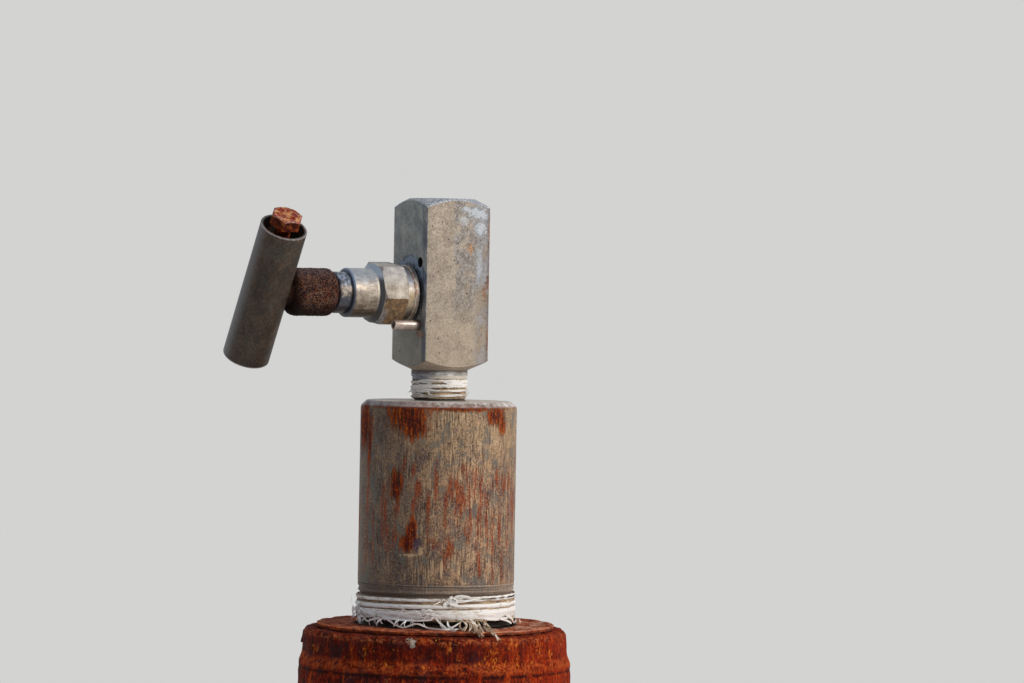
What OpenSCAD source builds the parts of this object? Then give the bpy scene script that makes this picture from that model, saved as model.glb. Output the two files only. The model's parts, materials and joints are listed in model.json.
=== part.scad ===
// Valve stack on a well casing: coupling, flush bushing, bull plug and a side-stem needle valve.
// Millimetres, +Z up, origin on the casing axis at ground level, stem along -X, front towards -Y.

/* [Pipe threads] */
// Growth in diameter per unit length of every tapered pipe thread
thread_taper = 0.0625; // [0.04:0.0005:0.08]
// Radial gap left between mating threads
thread_gap = 0.1; // [0.05:0.01:0.2]

/* [Casing pipe] */
// Outside diameter of the casing pipe and of its thread
pipe_od = 88.9; // [84:0.1:92]
// Wall of the casing pipe
pipe_wall = 5.49; // [4:0.01:7]
// Bare pipe between the ground and the coupling
pipe_clear = 163.6; // [60:0.2:400]
// Length of pipe screwed into the coupling
pipe_grip = 45; // [30:1:50]

/* [Casing coupling] */
// Length of the coupling
coupling_len = 108; // [104:1:140]
// Wall of the coupling outside the pipe's thread
coupling_wall = 8.15; // [6:0.05:14]
// Depth by which each end is turned down
coupling_step = 1.9; // [1:0.1:2.6]
// Growth in diameter along each turned-down end
coupling_end_flare = 0.8; // [0:0.1:1.4]
// Length of each turned-down end
coupling_end_len = 8.6; // [6:0.1:16]
// Length of the cone from each turned-down end to the wall
coupling_cone_len = 4; // [1:0.1:8]
// Rounding of the coupling's outer edges
coupling_edge = 2.4; // [0.5:0.1:3]
// Threaded hole left beyond the end of each pipe
thread_runout = 3; // [1:0.5:5]

/* [Reducing bushing] */
// Reach of the bushing's flange beyond its thread
flange_over = 1.4; // [0.6:0.1:4]
// Height of the flange's rim
flange_h = 1.7; // [0.8:0.1:3]
// Bare thread between the flange and the coupling
flange_gap = 1; // [0.3:0.1:3]
// Length of the bushing's outer thread in the coupling
bushing_grip = 38.8; // [25:0.2:42]
// Width of the countersink round the plug
bushing_countersink = 1; // [0.3:0.1:2]

/* [Bull plug] */
// Diameter of the bull plug and of its thread
plug_od = 60.3; // [56:0.1:64]
// Length of the plain wall
plug_len = 70.5; // [50:0.1:100]
// Length of thread above the bushing
plug_thread_show = 15.2; // [8:0.1:20]
// Length of thread in the bushing
plug_grip = 11.8; // [8:0.1:24]
// Height of the top chamfer
plug_chamfer_h = 2.1; // [1:0.1:4]
// Width of the top chamfer
plug_chamfer_w = 2.4; // [1:0.1:4]
// Rounding between the chamfer and the wall
plug_edge = 1.2; // [0.4:0.1:1.6]
// Depth of the shallow turned line above the thread
plug_line_depth = 0.25; // [0.1:0.05:0.5]
// Height of the turned line above the thread
plug_line_up = 3.2; // [1.5:0.1:8]
// Diameter of the passage drilled through the plug
plug_passage_d = 14.3; // [10:0.1:17]
// Depth of the tapped hole in the plug's top
plug_tap_depth = 16; // [13:0.5:24]

/* [Thread tape] */
// Thickness of the tape wound on the threads
tape_t = 0.55; // [0.3:0.05:0.9]
// Gap between the tape and the thread under it
tape_gap = 0.05; // [0.02:0.01:0.1]
// Bare thread left above the bushing
plug_tape_low = 2.9; // [0.5:0.1:6]
// Bare thread left below the plug's plain wall
plug_tape_high = 0.4; // [0.2:0.1:2]
// Bare thread left above the plug's top
neck_tape_low = 1.1; // [0.3:0.1:3]
// Bare thread left below the neck's plain part
neck_tape_high = 1.2; // [0.2:0.1:3]

/* [Valve body] */
// Width of the square bar
body_w = 27.25; // [26:0.05:32]
// Length of the square bar with its coned ends
body_len = 65.8; // [60:0.1:80]
// Distance from the round flat on the top to the bar's sides
body_top_inset = 1; // [0.4:0.1:2]
// Slope of the coned top
body_top_slope = 27; // [15:1:45]
// Slope of the coned underside
body_foot_slope = 23.7; // [10:0.1:40]
// Depth of the stem's axis below the top
stem_drop = 36.7; // [32:0.1:38]
// Diameter of the neck's plain part
neck_d = 21.7; // [21.3:0.1:23]
// Length of the neck's plain part
neck_plain = 2.3; // [1:0.1:6]
// Diameter of the neck's thread at its upper end
neck_thread_d = 21.1; // [20.6:0.1:21.3]
// Length of neck thread above the plug
neck_thread_show = 9.6; // [6:0.1:12]
// Length of neck thread in the plug
neck_grip = 10; // [7:0.1:12]

/* [Valve passages] */
// Diameter of the threaded port in the top
port_d = 18.6; // [17:0.1:20]
// Depth of the port below its countersink
port_depth = 15; // [12:0.1:17]
// Width and depth of the port's countersink
port_countersink = 1; // [0.5:0.1:1.5]
// Diameter of the bore up the neck
inlet_d = 12.6; // [11:0.1:13.4]
// Depth of the bore up the neck
inlet_depth = 24; // [18:0.5:30]
// Diameter of the seat's orifice and of the drilled passages
orifice_d = 4.2; // [3:0.1:4.4]
// Offset of the inlet passage from the body's axis
inlet_offset = 4.1; // [3.4:0.1:4.6]
// Offset of the outlet passage from the body's axis
outlet_offset = 3.5; // [3:0.1:4]
// Depth of the seat before the body's axis
seat_offset = 0.6; // [0.3:0.1:1]
// Diameter of the chamber in front of the seat
chamber_d = 10.4; // [9.8:0.1:12]

/* [Bonnet] */
// Diameter of the bonnet's thread in the body
bonnet_thread_d = 17; // [16:0.1:18.5]
// Length of the bonnet's thread in the body
bonnet_grip = 6.9; // [5:0.1:7.5]
// Thickness of the gasket against the body
gasket_h = 1.2; // [0.5:0.1:2]
// Width of the gasket's ring
gasket_w = 1; // [0.6:0.1:1.6]
// Thickness of the washer on the gasket
washer_h = 1.8; // [1:0.1:3]
// Width of the washer's ring
washer_w = 2.4; // [1.5:0.1:2.6]
// Diameter of the bonnet's round base
base_d = 21.5; // [20:0.1:22]
// Height of the round base
base_h = 3; // [1:0.1:6]
// Width of the hexagon across its flats
hex_af = 22.2; // [21.8:0.1:23]
// Length of the hexagon
hex_h = 10.3; // [6:0.1:14]
// Width of the chamfer on the hexagon's corners
hex_chamfer = 1.5; // [1:0.1:2.2]
// Turn of the hexagon about the stem
hex_turn = 21.1; // [15:0.1:25]
// Length of the cone from the hexagon to the neck
shoulder_h = 1.1; // [0.5:0.1:3]
// Diameter of the bonnet's neck
bonnet_neck_d = 18.8; // [17:0.1:20]
// Length of the bonnet's neck
bonnet_neck_h = 10.8; // [9.5:0.1:20]
// Chamfer at the outer end of the neck
bonnet_neck_chamfer = 0.6; // [0.2:0.1:1]

/* [Lock pin] */
// Diameter of the hollow lock pin
pin_d = 4; // [3.6:0.1:4.2]
// Bore of the lock pin
pin_bore_d = 2.5; // [1.5:0.1:2.8]
// Width of the slit along the lock pin
pin_slit = 0.7; // [0.3:0.1:1]
// Length of the lock pin outside the body
pin_show = 11.1; // [7:0.1:14]
// Length of the lock pin in the body
pin_grip = 8; // [5:0.1:9]
// Gap between the lock pin and the circle inside the hexagon
pin_clear = 1.5; // [1.3:0.1:1.9]
// Angle of the lock-pin holes above and below the stem's axis
pin_angle = 55.3; // [50:0.1:58]
// Radial gap between the lock pin and its hole
pin_gap = 0.05; // [0.02:0.01:0.1]

/* [Packing] */
// Diameter of the packing chamber
packing_d = 12.4; // [11.6:0.1:13.4]
// Radial gap of the packing and the gland in their chamber
packing_gap = 0.06; // [0.03:0.01:0.1]
// Thickness of the washer under the packing
packing_washer_h = 1; // [0.6:0.1:1.5]
// Thickness of one packing ring
packing_ring_h = 1.5; // [1:0.1:1.8]
// Diameter of the gland's head
gland_d = 15.8; // [14:0.1:17]
// Length of the gland's head
gland_h = 5.3; // [3:0.1:8]
// Chamfer round the gland's head
gland_chamfer = 0.5; // [0.2:0.1:1]

/* [Stem and needle tip] */
// Diameter of the stem's thread
stem_thread_d = 9.4; // [9:0.1:9.6]
// Diameter of the stem's plain shank
stem_d = 7.2; // [6.6:0.1:7.8]
// Radial running gap of the stem
run_gap = 0.08; // [0.05:0.01:0.1]
// Gap left behind the stem's thread with the valve fully open
stem_back_gap = 0.32; // [0.2:0.02:0.5]
// Travel of the stem in one turn
stem_pitch = 1.27; // [1:0.01:1.5]
// Turns from shut to fully open
open_turns = 3; // [2:0.5:3]
// Length of bonnet bore round the shank, below the packing
bush_h = 1.2; // [0.8:0.1:2]
// Diameter of the needle tip
tip_d = 7.2; // [6.6:0.1:8]
// Length of the needle tip's round part
tip_len = 3; // [2:0.1:4]
// Diameter of the needle tip's nose
tip_nose_d = 2; // [1:0.1:2.4]
// Half angle of the needle tip's cone
tip_angle = 22; // [18:1:30]
// Gap between the shut tip and the edge of its seat
seat_gap = 0.05; // [0.03:0.01:0.1]
// Diameter of the shank that holds the tip in the stem
tip_shank_d = 3; // [2.4:0.1:3.4]
// Length of that shank up to its collar
tip_shank_len = 3; // [2:0.1:4]
// Diameter of the collar that keeps the tip in the stem
tip_collar_d = 4.4; // [4:0.1:5.2]
// Thickness of the collar
tip_collar_h = 1.2; // [0.8:0.1:2]

/* [Handle hub] */
// Gap between the gland and the hub with the valve shut
hub_gap = 0.5; // [0.4:0.1:2]
// Diameter of the hub
hub_d = 18.5; // [16:0.1:20]
// Length of the hub
hub_len = 18; // [15:0.1:26]
// Chamfer at the hub's bonnet end
hub_chamfer = 1.4; // [0.3:0.1:1.5]
// Rounding at the hub's tube end
hub_edge = 2.8; // [0.5:0.1:3.4]
// Depth of stem held in the hub
hub_socket = 12; // [8:0.5:13]
// Diameter of the nose that enters the tube
nose_d = 10.4; // [9.6:0.1:11.4]
// Gap between the nose's rim and the inside of the tube
nose_clear = 0.25; // [0.2:0.05:1]

/* [Handle tube and bolt] */
// Outside diameter of the handle tube
tube_od = 17.9; // [17:0.1:20]
// Wall of the handle tube
tube_wall = 1.07; // [0.8:0.01:1.4]
// Length of the handle tube
tube_len = 57.7; // [48:0.1:90]
// Depth of the tube's middle below the stem's axis
tube_drop = 0.3; // [0:0.1:4]
// Gap between the hub's end and the tube
tube_gap = 0.5; // [0.2:0.1:1.5]
// Gap round the nose in the tube's hole
tube_hole_gap = 0.3; // [0.1:0.05:0.6]
// Lean of the tube's top towards the front, with the valve shut
handle_turn = 32.5; // [0:0.5:90]
// Diameter of the bolt's shank
bolt_d = 6.2; // [5.6:0.1:6.4]
// Length of the bolt under its head
bolt_len = 50.8; // [46:0.2:60]
// Width of the bolt's head across its flats
bolt_af = 11.1; // [10:0.1:11.8]
// Height of the bolt's head
bolt_head_h = 4.5; // [3:0.1:5]
// Height of the head's underside above the tube's top
bolt_rise = 1.2; // [0.5:0.1:4]
// Turn of the bolt's head about the tube's axis
bolt_turn = 0; // [-30:1:30]
// Radial gap round the bolt in the nose
bolt_gap = 0.12; // [0.05:0.01:0.2]
// Height of the nut
nut_h = 5.5; // [4:0.1:6.5]
// Turn of the nut about the tube's axis
nut_turn = 14; // [-30:1:30]
// Gap between the nut and the nose
nut_gap = 0.1; // [0.05:0.05:0.3]
// Distance from the round flat on the head and on the nut to their sides
bolt_crown_inset = 0.5; // [0.1:0.05:0.6]
// Chamfer round the bolt's end
bolt_end_chamfer = 0.8; // [0.3:0.1:1.2]

/* [Hidden] */
$fn = 96;
// Overlap given to cutting solids, so that no cut ends in a skin
cut = 1;

// Heights, from the ground up
coupling_z = pipe_clear;
coupling_top = coupling_z + coupling_len;
flange_z = coupling_top + flange_gap;
bushing_top = flange_z + flange_h;
bushing_foot = coupling_top - bushing_grip;
plug_foot = bushing_top - plug_grip;
plug_wall_z = bushing_top + plug_thread_show;
plug_top = plug_wall_z + plug_len;
neck_foot = plug_top - neck_grip;
neck_plain_z = plug_top + neck_thread_show;
body_z = neck_plain_z + neck_plain;
body_top = body_z + body_len;
stem_z = body_top - stem_drop;

// Radii of the pipe threads where they start
pipe_r = pipe_od / 2;
coupling_r = pipe_r + coupling_wall;
plug_r = plug_od / 2;
neck_r = neck_thread_d / 2;

// Distances along the stem, outwards from the body's left face
seat_u = seat_offset - body_w / 2;
washer_u = gasket_h;
base_u = washer_u + washer_h;
hex_u = base_u + base_h;
shoulder_u = hex_u + hex_h;
bonnet_neck_u = shoulder_u + shoulder_h;
bonnet_end = bonnet_neck_u + bonnet_neck_h;
gland_end = bonnet_end + gland_h;
hub_u = gland_end + hub_gap;
hub_end = hub_u + hub_len;
tube_u = hub_end + tube_gap + tube_od / 2;
tube_bore_r = tube_od / 2 - tube_wall;
nose_end = tube_u + sqrt(pow(tube_bore_r - nose_clear, 2) - pow(nose_d / 2, 2));

// Lock-pin holes, below and above the stem's axis and to the front of it
pin_reach = hex_af / 2 + pin_clear + pin_d / 2;
pin_drop = pin_reach * sin(pin_angle);
pin_side = pin_reach * cos(pin_angle);

// Packing chamber: washer and three rings, then the gland's spigot down on them
packing_u = bonnet_neck_u + bush_h;
packing_rings_u = packing_u + packing_washer_h;
spigot_u = packing_rings_u + 3 * packing_ring_h;
packing_in = stem_d / 2 + run_gap;
packing_out = packing_d / 2 - packing_gap;

// Needle tip, from its cone's shoulder to the back of its collar
seat_r = orifice_d / 2 - seat_gap;
tip_nose_u = seat_u - (seat_r - tip_nose_d / 2) / tan(tip_angle);
tip_cone_u = seat_u + (tip_d / 2 - seat_r) / tan(tip_angle);
tip_back = tip_cone_u + tip_len;
collar_u = tip_back + tip_shank_len;
collar_end = collar_u + tip_collar_h;

// Stem: the thread stops short of the bonnet's bush when the valve is fully open
stem_foot = tip_back + run_gap;
stem_lift = stem_pitch * open_turns;
stem_thread_end = bonnet_neck_u - stem_lift - stem_back_gap;

// Distances along the tube, upwards from the stem's axis
tube_foot_t = -tube_len / 2 - tube_drop;
bolt_head_t = tube_foot_t + tube_len + bolt_rise;
nut_t = -nose_d / 2 - nut_gap - nut_h;

// Loss of radius of a pipe thread over a length
function taper(length) = length * thread_taper / 2;

// Points of an arc about a centre, from one angle to another
function arc(centre, r, from, to, steps = 6) =
    [for (i = [0:steps]) centre + r * [cos(from + (to - from) * i / steps),
                                       sin(from + (to - from) * i / steps)]];

// Solid of revolution about the casing axis, from points of radius and height
module turned(points) {
    rotate_extrude() polygon(points);
}

// Places what stands upright so that it points out of the body along the stem
module along_stem() {
    translate([-body_w / 2, 0, stem_z]) rotate([0, -90, 0]) children();
}

// Places what stands upright along the handle tube, with the stem's axis at its origin
module along_tube() {
    along_stem() translate([0, 0, tube_u]) rotate([0, 0, -handle_turn]) rotate([0, 90, 0]) children();
}

// Hexagonal bar across its flats
module hex_bar(af, h) {
    cylinder(r = af / 2 / cos(30), h = h, $fn = 6);
}

// Head or nut of the handle's bolt, with a cone that takes off its upper corners
module bolt_hexagon(h) {
    corner_r = bolt_af / 2 / cos(30);
    crown_r = bolt_af / 2 - bolt_crown_inset;
    intersection() {
        hex_bar(bolt_af, h);
        turned([
            [0, 0],
            [corner_r + cut, 0],
            [corner_r + cut, h - (corner_r + cut - crown_r) * tan(30)],
            [crown_r, h],
            [0, h]
        ]);
    }
}

module casing_pipe() {
    bore_r = pipe_r - pipe_wall;
    color("#6b4a3a")
        turned([
            [bore_r, 0],
            [pipe_r, 0],
            [pipe_r, coupling_z],
            [pipe_r - taper(pipe_grip), coupling_z + pipe_grip],
            [bore_r, coupling_z + pipe_grip]
        ]);
}

// Outline of the coupling's lower half, outside only, for a half of the given length
function coupling_outline(half) =
    let (end_r = coupling_r - coupling_step,
         flare_r = end_r + coupling_end_flare / 2)
    concat(
        arc([end_r - coupling_edge, coupling_edge], coupling_edge, -90, 0),
        [[flare_r, coupling_end_len],
         [coupling_r, coupling_end_len + coupling_cone_len],
         [coupling_r, half]]);

module casing_coupling() {
    half = coupling_len / 2;
    lower = coupling_outline(half);
    low_reach = pipe_grip + thread_runout;
    top_reach = bushing_grip + thread_runout;
    low_r = pipe_r + thread_gap;
    top_r = pipe_r - taper(flange_gap) + thread_gap;
    color("#6e3f2e")
        translate([0, 0, coupling_z])
            turned(concat(
                lower,
                [for (i = [len(lower) - 2:-1:0]) [lower[i][0], coupling_len - lower[i][1]]],
                [[top_r, coupling_len],
                 [top_r - taper(top_reach), coupling_len - top_reach],
                 [low_r - taper(low_reach), low_reach],
                 [low_r, 0]]));
}

module reducing_bushing() {
    hole_r = plug_r - taper(plug_thread_show) + thread_gap;
    color("#7a4632")
        turned([
            [pipe_r - taper(flange_gap + bushing_grip), bushing_foot],
            [pipe_r, flange_z],
            [pipe_r + flange_over, flange_z],
            [pipe_r + flange_over, bushing_top],
            [hole_r + bushing_countersink, bushing_top],
            [hole_r - taper(bushing_countersink), bushing_top - bushing_countersink],
            [hole_r - taper(bushing_top - bushing_foot), bushing_foot]
        ]);
}

module bull_plug() {
    tap_r = neck_r - taper(neck_thread_show) + thread_gap;
    tap_foot = plug_top - plug_tap_depth;
    drill_r = plug_passage_d / 2;
    line_z = plug_wall_z + plug_line_up;
    top_r = plug_r - plug_chamfer_w;
    slope = atan2(plug_chamfer_h, plug_chamfer_w);
    // The arc that meets both the wall and the chamfer
    edge_drop = plug_chamfer_h + plug_edge * tan((90 - slope) / 2);
    color("#8f8f8a")
        turned(concat(
            [[drill_r, plug_foot],
             [plug_r - taper(plug_thread_show + plug_grip), plug_foot],
             [plug_r, plug_wall_z],
             [plug_r, line_z - plug_line_depth],
             [plug_r - plug_line_depth, line_z],
             [plug_r, line_z + plug_line_depth]],
            arc([plug_r - plug_edge, plug_top - edge_drop], plug_edge, 0, 90 - slope),
            [[top_r, plug_top],
             [tap_r, plug_top],
             [tap_r - taper(plug_tap_depth), tap_foot],
             [drill_r, tap_foot - (tap_r - taper(plug_tap_depth) - drill_r)]]));
}

// Band of tape on a tapered thread, from its lower to its upper end
module tape_band(low_r, low_z, high_z) {
    inner = low_r + tape_gap;
    growth = taper(high_z - low_z);
    color("#d9d3c4")
        turned([
            [inner, low_z],
            [inner + tape_t, low_z],
            [inner + tape_t + growth, high_z],
            [inner + growth, high_z]
        ]);
}

module plug_tape() {
    low = bushing_top + plug_tape_low;
    tape_band(plug_r - taper(plug_wall_z - low), low, plug_wall_z - plug_tape_high);
}

module neck_tape() {
    low = plug_top + neck_tape_low;
    tape_band(neck_r - taper(neck_plain_z - low), low, neck_plain_z - neck_tape_high);
}

// Space inside the two cones that take the square bar's corners off
module body_cones() {
    reach = body_w;
    top_r = body_w / 2 - body_top_inset;
    foot_rise = (reach - neck_d / 2) * tan(body_foot_slope);
    top_fall = (reach - top_r) * tan(body_top_slope);
    turned([
        [0, body_z],
        [neck_d / 2, body_z],
        [reach, body_z + foot_rise],
        [reach, body_top - top_fall],
        [top_r, body_top],
        [0, body_top]
    ]);
}

module body_bar() {
    intersection() {
        translate([-body_w / 2, -body_w / 2, body_z]) cube([body_w, body_w, body_len]);
        body_cones();
    }
    turned([
        [0, neck_foot],
        [neck_r - taper(neck_thread_show + neck_grip), neck_foot],
        [neck_r, neck_plain_z],
        [neck_d / 2, neck_plain_z],
        [neck_d / 2, body_z + cut],
        [0, body_z + cut]
    ]);
}

// Port in the top, passages, and the bore up the neck
module body_passages() {
    port_foot = body_top - port_countersink - port_depth;
    turned([
        [0, port_foot],
        [port_d / 2, port_foot],
        [port_d / 2, body_top - port_countersink],
        [port_d / 2 + port_countersink + cut, body_top + cut],
        [0, body_top + cut]
    ]);
    translate([0, 0, neck_foot - cut]) cylinder(d = inlet_d, h = inlet_depth + cut);
    translate([inlet_offset, 0, neck_foot + inlet_depth - cut])
        cylinder(d = orifice_d, h = stem_z - neck_foot - inlet_depth + cut);
    translate([-outlet_offset, 0, stem_z]) cylinder(d = orifice_d, h = port_foot - stem_z + cut);
}

// Stepped bore from the left face to the seat, and the orifice beyond it
module stem_bore() {
    orifice_end = -body_w / 2 - inlet_offset - orifice_d / 2;
    along_stem()
        turned([
            [0, orifice_end],
            [orifice_d / 2, orifice_end],
            [orifice_d / 2, seat_u],
            [chamber_d / 2, seat_u],
            [chamber_d / 2, -bonnet_grip - thread_gap],
            [bonnet_thread_d / 2 + thread_gap, -bonnet_grip - thread_gap],
            [bonnet_thread_d / 2 + thread_gap, cut],
            [0, cut]
        ]);
}

// Two lock-pin holes: the lower one holds the pin, the upper one is empty
module pin_holes() {
    along_stem()
        for (up = [-pin_drop, pin_drop])
            translate([up, -pin_side, -pin_grip]) cylinder(d = pin_d + 2 * pin_gap, h = pin_grip + cut);
}

module valve_body() {
    color("#a09a90")
        difference() {
            body_bar();
            body_passages();
            stem_bore();
            pin_holes();
        }
}

// Outside of the bonnet without its bores
module bonnet_blank() {
    flat_r = hex_af / 2 / cos(30) - hex_chamfer;
    corner_h = (hex_chamfer + cut) * tan(30);
    turned([
        [0, -bonnet_grip],
        [bonnet_thread_d / 2, -bonnet_grip],
        [bonnet_thread_d / 2, base_u],
        [base_d / 2, base_u],
        [base_d / 2, hex_u],
        [flat_r, hex_u],
        [flat_r, shoulder_u],
        [bonnet_neck_d / 2, bonnet_neck_u],
        [bonnet_neck_d / 2, bonnet_end - bonnet_neck_chamfer],
        [bonnet_neck_d / 2 - bonnet_neck_chamfer, bonnet_end],
        [0, bonnet_end]
    ]);
    intersection() {
        translate([0, 0, hex_u]) rotate([0, 0, hex_turn]) hex_bar(hex_af, hex_h);
        turned([
            [0, hex_u],
            [flat_r, hex_u],
            [flat_r + hex_chamfer + cut, hex_u + corner_h],
            [flat_r + hex_chamfer + cut, shoulder_u - corner_h],
            [flat_r, shoulder_u],
            [0, shoulder_u]
        ]);
    }
}

module bonnet() {
    color("#b3afa6")
        along_stem()
            difference() {
                bonnet_blank();
                turned([
                    [0, -bonnet_grip - cut],
                    [stem_thread_d / 2 + run_gap, -bonnet_grip - cut],
                    [stem_thread_d / 2 + run_gap, bonnet_neck_u],
                    [stem_d / 2 + run_gap, bonnet_neck_u],
                    [stem_d / 2 + run_gap, packing_u],
                    [packing_d / 2, packing_u],
                    [packing_d / 2, bonnet_end + cut],
                    [0, bonnet_end + cut]
                ]);
            }
}

// Flat ring round the stem, from one distance along it to another
module stem_ring(inner, outer, from, to) {
    along_stem() turned([[inner, from], [outer, from], [outer, to], [inner, to]]);
}

// Flat ring of the given width round the bonnet's thread
module bonnet_ring(width, from, to) {
    inner = bonnet_thread_d / 2 + thread_gap;
    stem_ring(inner, inner + width, from, to);
}

module bonnet_washer() {
    color("#a8a49b") bonnet_ring(washer_w, washer_u, base_u);
}

module bonnet_gasket() {
    color("#3a3230") bonnet_ring(gasket_w, 0, washer_u);
}

module lock_pin() {
    length = pin_grip + pin_show;
    color("#c9c6c0")
        along_stem()
            translate([-pin_drop, -pin_side, -pin_grip])
                difference() {
                    cylinder(d = pin_d, h = length);
                    translate([0, 0, -cut]) cylinder(d = pin_bore_d, h = length + 2 * cut);
                    translate([-pin_d, -pin_slit / 2, -cut]) cube([pin_d, pin_slit, length + 2 * cut]);
                }
}

module packing_washer() {
    color("#b8b4aa") stem_ring(packing_in, packing_out, packing_u, packing_rings_u);
}

module packing_ring(number) {
    from = packing_rings_u + (number - 1) * packing_ring_h;
    color("#e6e2d8") stem_ring(packing_in, packing_out, from, from + packing_ring_h);
}

module packing_gland() {
    color("#8d8780")
        along_stem()
            turned([
                [packing_in, spigot_u],
                [packing_out, spigot_u],
                [packing_out, bonnet_end],
                [gland_d / 2, bonnet_end],
                [gland_d / 2, gland_end - gland_chamfer],
                [gland_d / 2 - gland_chamfer, gland_end],
                [packing_in, gland_end]
            ]);
}

// Tip that seats without turning: cone, round part, shank and the collar held in the stem
module needle_tip() {
    color("#c4c2bc")
        along_stem()
            turned([
                [0, tip_nose_u],
                [tip_nose_d / 2, tip_nose_u],
                [tip_d / 2, tip_cone_u],
                [tip_d / 2, tip_back],
                [tip_shank_d / 2, tip_back],
                [tip_shank_d / 2, collar_u],
                [tip_collar_d / 2, collar_u],
                [tip_collar_d / 2, collar_end],
                [0, collar_end]
            ]);
}

module stem() {
    color("#9a978f")
        along_stem()
            turned([
                [tip_shank_d / 2 + run_gap, stem_foot],
                [stem_thread_d / 2, stem_foot],
                [stem_thread_d / 2, stem_thread_end],
                [stem_d / 2, stem_thread_end],
                [stem_d / 2, hub_u + hub_socket],
                [0, hub_u + hub_socket],
                [0, collar_end + run_gap],
                [tip_collar_d / 2 + run_gap, collar_end + run_gap],
                [tip_collar_d / 2 + run_gap, collar_u - run_gap],
                [tip_shank_d / 2 + run_gap, collar_u - run_gap]
            ]);
}

// Hub on the stem's end, with a drilled nose that carries the tube
module handle_hub() {
    color("#4a332b")
        difference() {
            along_stem()
                turned(concat(
                    [[stem_d / 2 + pin_gap, hub_u],
                     [hub_d / 2 - hub_chamfer, hub_u],
                     [hub_d / 2, hub_u + hub_chamfer]],
                    arc([hub_d / 2 - hub_edge, hub_end - hub_edge], hub_edge, 0, 90),
                    [[nose_d / 2, hub_end],
                     [nose_d / 2, nose_end],
                     [0, nose_end],
                     [0, hub_u + hub_socket + pin_gap],
                     [stem_d / 2 + pin_gap, hub_u + hub_socket + pin_gap]]));
            along_tube()
                translate([0, 0, -nose_d]) cylinder(d = bolt_d + 2 * bolt_gap, h = 2 * nose_d);
        }
}

module handle_tube() {
    color("#77746e")
        difference() {
            along_tube() translate([0, 0, tube_foot_t]) cylinder(d = tube_od, h = tube_len);
            along_tube()
                translate([0, 0, tube_foot_t - cut]) cylinder(r = tube_bore_r, h = tube_len + 2 * cut);
            along_stem()
                translate([0, 0, tube_u - tube_od / 2 - cut])
                    cylinder(d = nose_d + 2 * tube_hole_gap, h = tube_od / 2 + cut);
        }
}

module handle_bolt() {
    end_t = bolt_head_t - bolt_len;
    color("#a05a35")
        along_tube() {
            turned([
                [0, end_t],
                [bolt_d / 2 - bolt_end_chamfer, end_t],
                [bolt_d / 2, end_t + bolt_end_chamfer],
                [bolt_d / 2, bolt_head_t + cut],
                [0, bolt_head_t + cut]
            ]);
            translate([0, 0, bolt_head_t]) rotate([0, 0, bolt_turn]) bolt_hexagon(bolt_head_h);
        }
}

// Nut under the nose, its coned end away from the nose
module handle_nut() {
    color("#7a5a48")
        along_tube()
            translate([0, 0, nut_t + nut_h])
                difference() {
                    mirror([0, 0, 1]) rotate([0, 0, nut_turn]) bolt_hexagon(nut_h);
                    translate([0, 0, -nut_h - cut])
                        cylinder(d = bolt_d + 2 * thread_gap, h = nut_h + 2 * cut);
                }
}

casing_pipe();
casing_coupling();
reducing_bushing();
bull_plug();
plug_tape();
neck_tape();
valve_body();
bonnet();
bonnet_washer();
bonnet_gasket();
lock_pin();
packing_washer();
packing_ring(1);  // packing_ring_1
packing_ring(2);  // packing_ring_2
packing_ring(3);  // packing_ring_3
packing_gland();
needle_tip();
stem();
handle_hub();
handle_tube();
handle_bolt();
handle_nut();
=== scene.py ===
import functools
import json
import random
from math import atan2, ceil, cos, hypot, pi, radians, sin

import bmesh
import bpy
from mathutils import Matrix, Vector, noise


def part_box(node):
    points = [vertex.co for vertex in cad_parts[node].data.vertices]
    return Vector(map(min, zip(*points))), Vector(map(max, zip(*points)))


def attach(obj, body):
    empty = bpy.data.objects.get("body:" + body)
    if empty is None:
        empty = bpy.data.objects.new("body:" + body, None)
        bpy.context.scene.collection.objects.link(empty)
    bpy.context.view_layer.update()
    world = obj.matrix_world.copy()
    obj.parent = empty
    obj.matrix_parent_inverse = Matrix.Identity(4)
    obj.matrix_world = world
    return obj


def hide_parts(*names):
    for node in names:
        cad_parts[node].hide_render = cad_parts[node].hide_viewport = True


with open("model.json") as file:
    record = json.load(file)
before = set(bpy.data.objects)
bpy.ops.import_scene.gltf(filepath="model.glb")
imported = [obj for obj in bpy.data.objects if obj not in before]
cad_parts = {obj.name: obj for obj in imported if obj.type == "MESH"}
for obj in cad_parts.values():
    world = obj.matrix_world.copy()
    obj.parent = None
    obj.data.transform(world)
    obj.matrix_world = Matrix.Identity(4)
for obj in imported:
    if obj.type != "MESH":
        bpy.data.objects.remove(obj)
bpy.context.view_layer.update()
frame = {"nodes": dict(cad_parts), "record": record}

# Every shape is worked out in millimetres and scaled to metres when its piece is made.
MM = 0.001
UP = Vector((0, 0, 1))


def lowest(node):
    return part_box(node)[0] / MM


def highest(node):
    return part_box(node)[1] / MM


# Heights up the stack and radii about its axis
PIPE_R = highest("casing_pipe").x
PIPE_TOP = highest("casing_pipe").z
PIPE_BORE_R = PIPE_R - 5.49
COUPLING_FOOT = lowest("casing_coupling").z
COUPLING_TOP = highest("casing_coupling").z
COUPLING_R = highest("casing_coupling").x
BUSHING_FOOT = lowest("reducing_bushing").z
BUSHING_TOP = highest("reducing_bushing").z
FLANGE_R = highest("reducing_bushing").x
PLUG_R = highest("bull_plug").x
PLUG_FOOT = lowest("bull_plug").z
PLUG_TOP = highest("bull_plug").z
PLUG_WALL_FOOT = PLUG_TOP - 70.5
NECK_FOOT = lowest("valve_body").z
BODY_TOP = highest("valve_body").z
BODY_FOOT = BODY_TOP - 65.8
BODY_HALF = highest("valve_body").x
NECK_R = 10.55
NECK_BORE_R = 6.3
NECK_PLAIN_R = 10.85
NECK_PLAIN_FOOT = BODY_FOOT - 2.3
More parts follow.
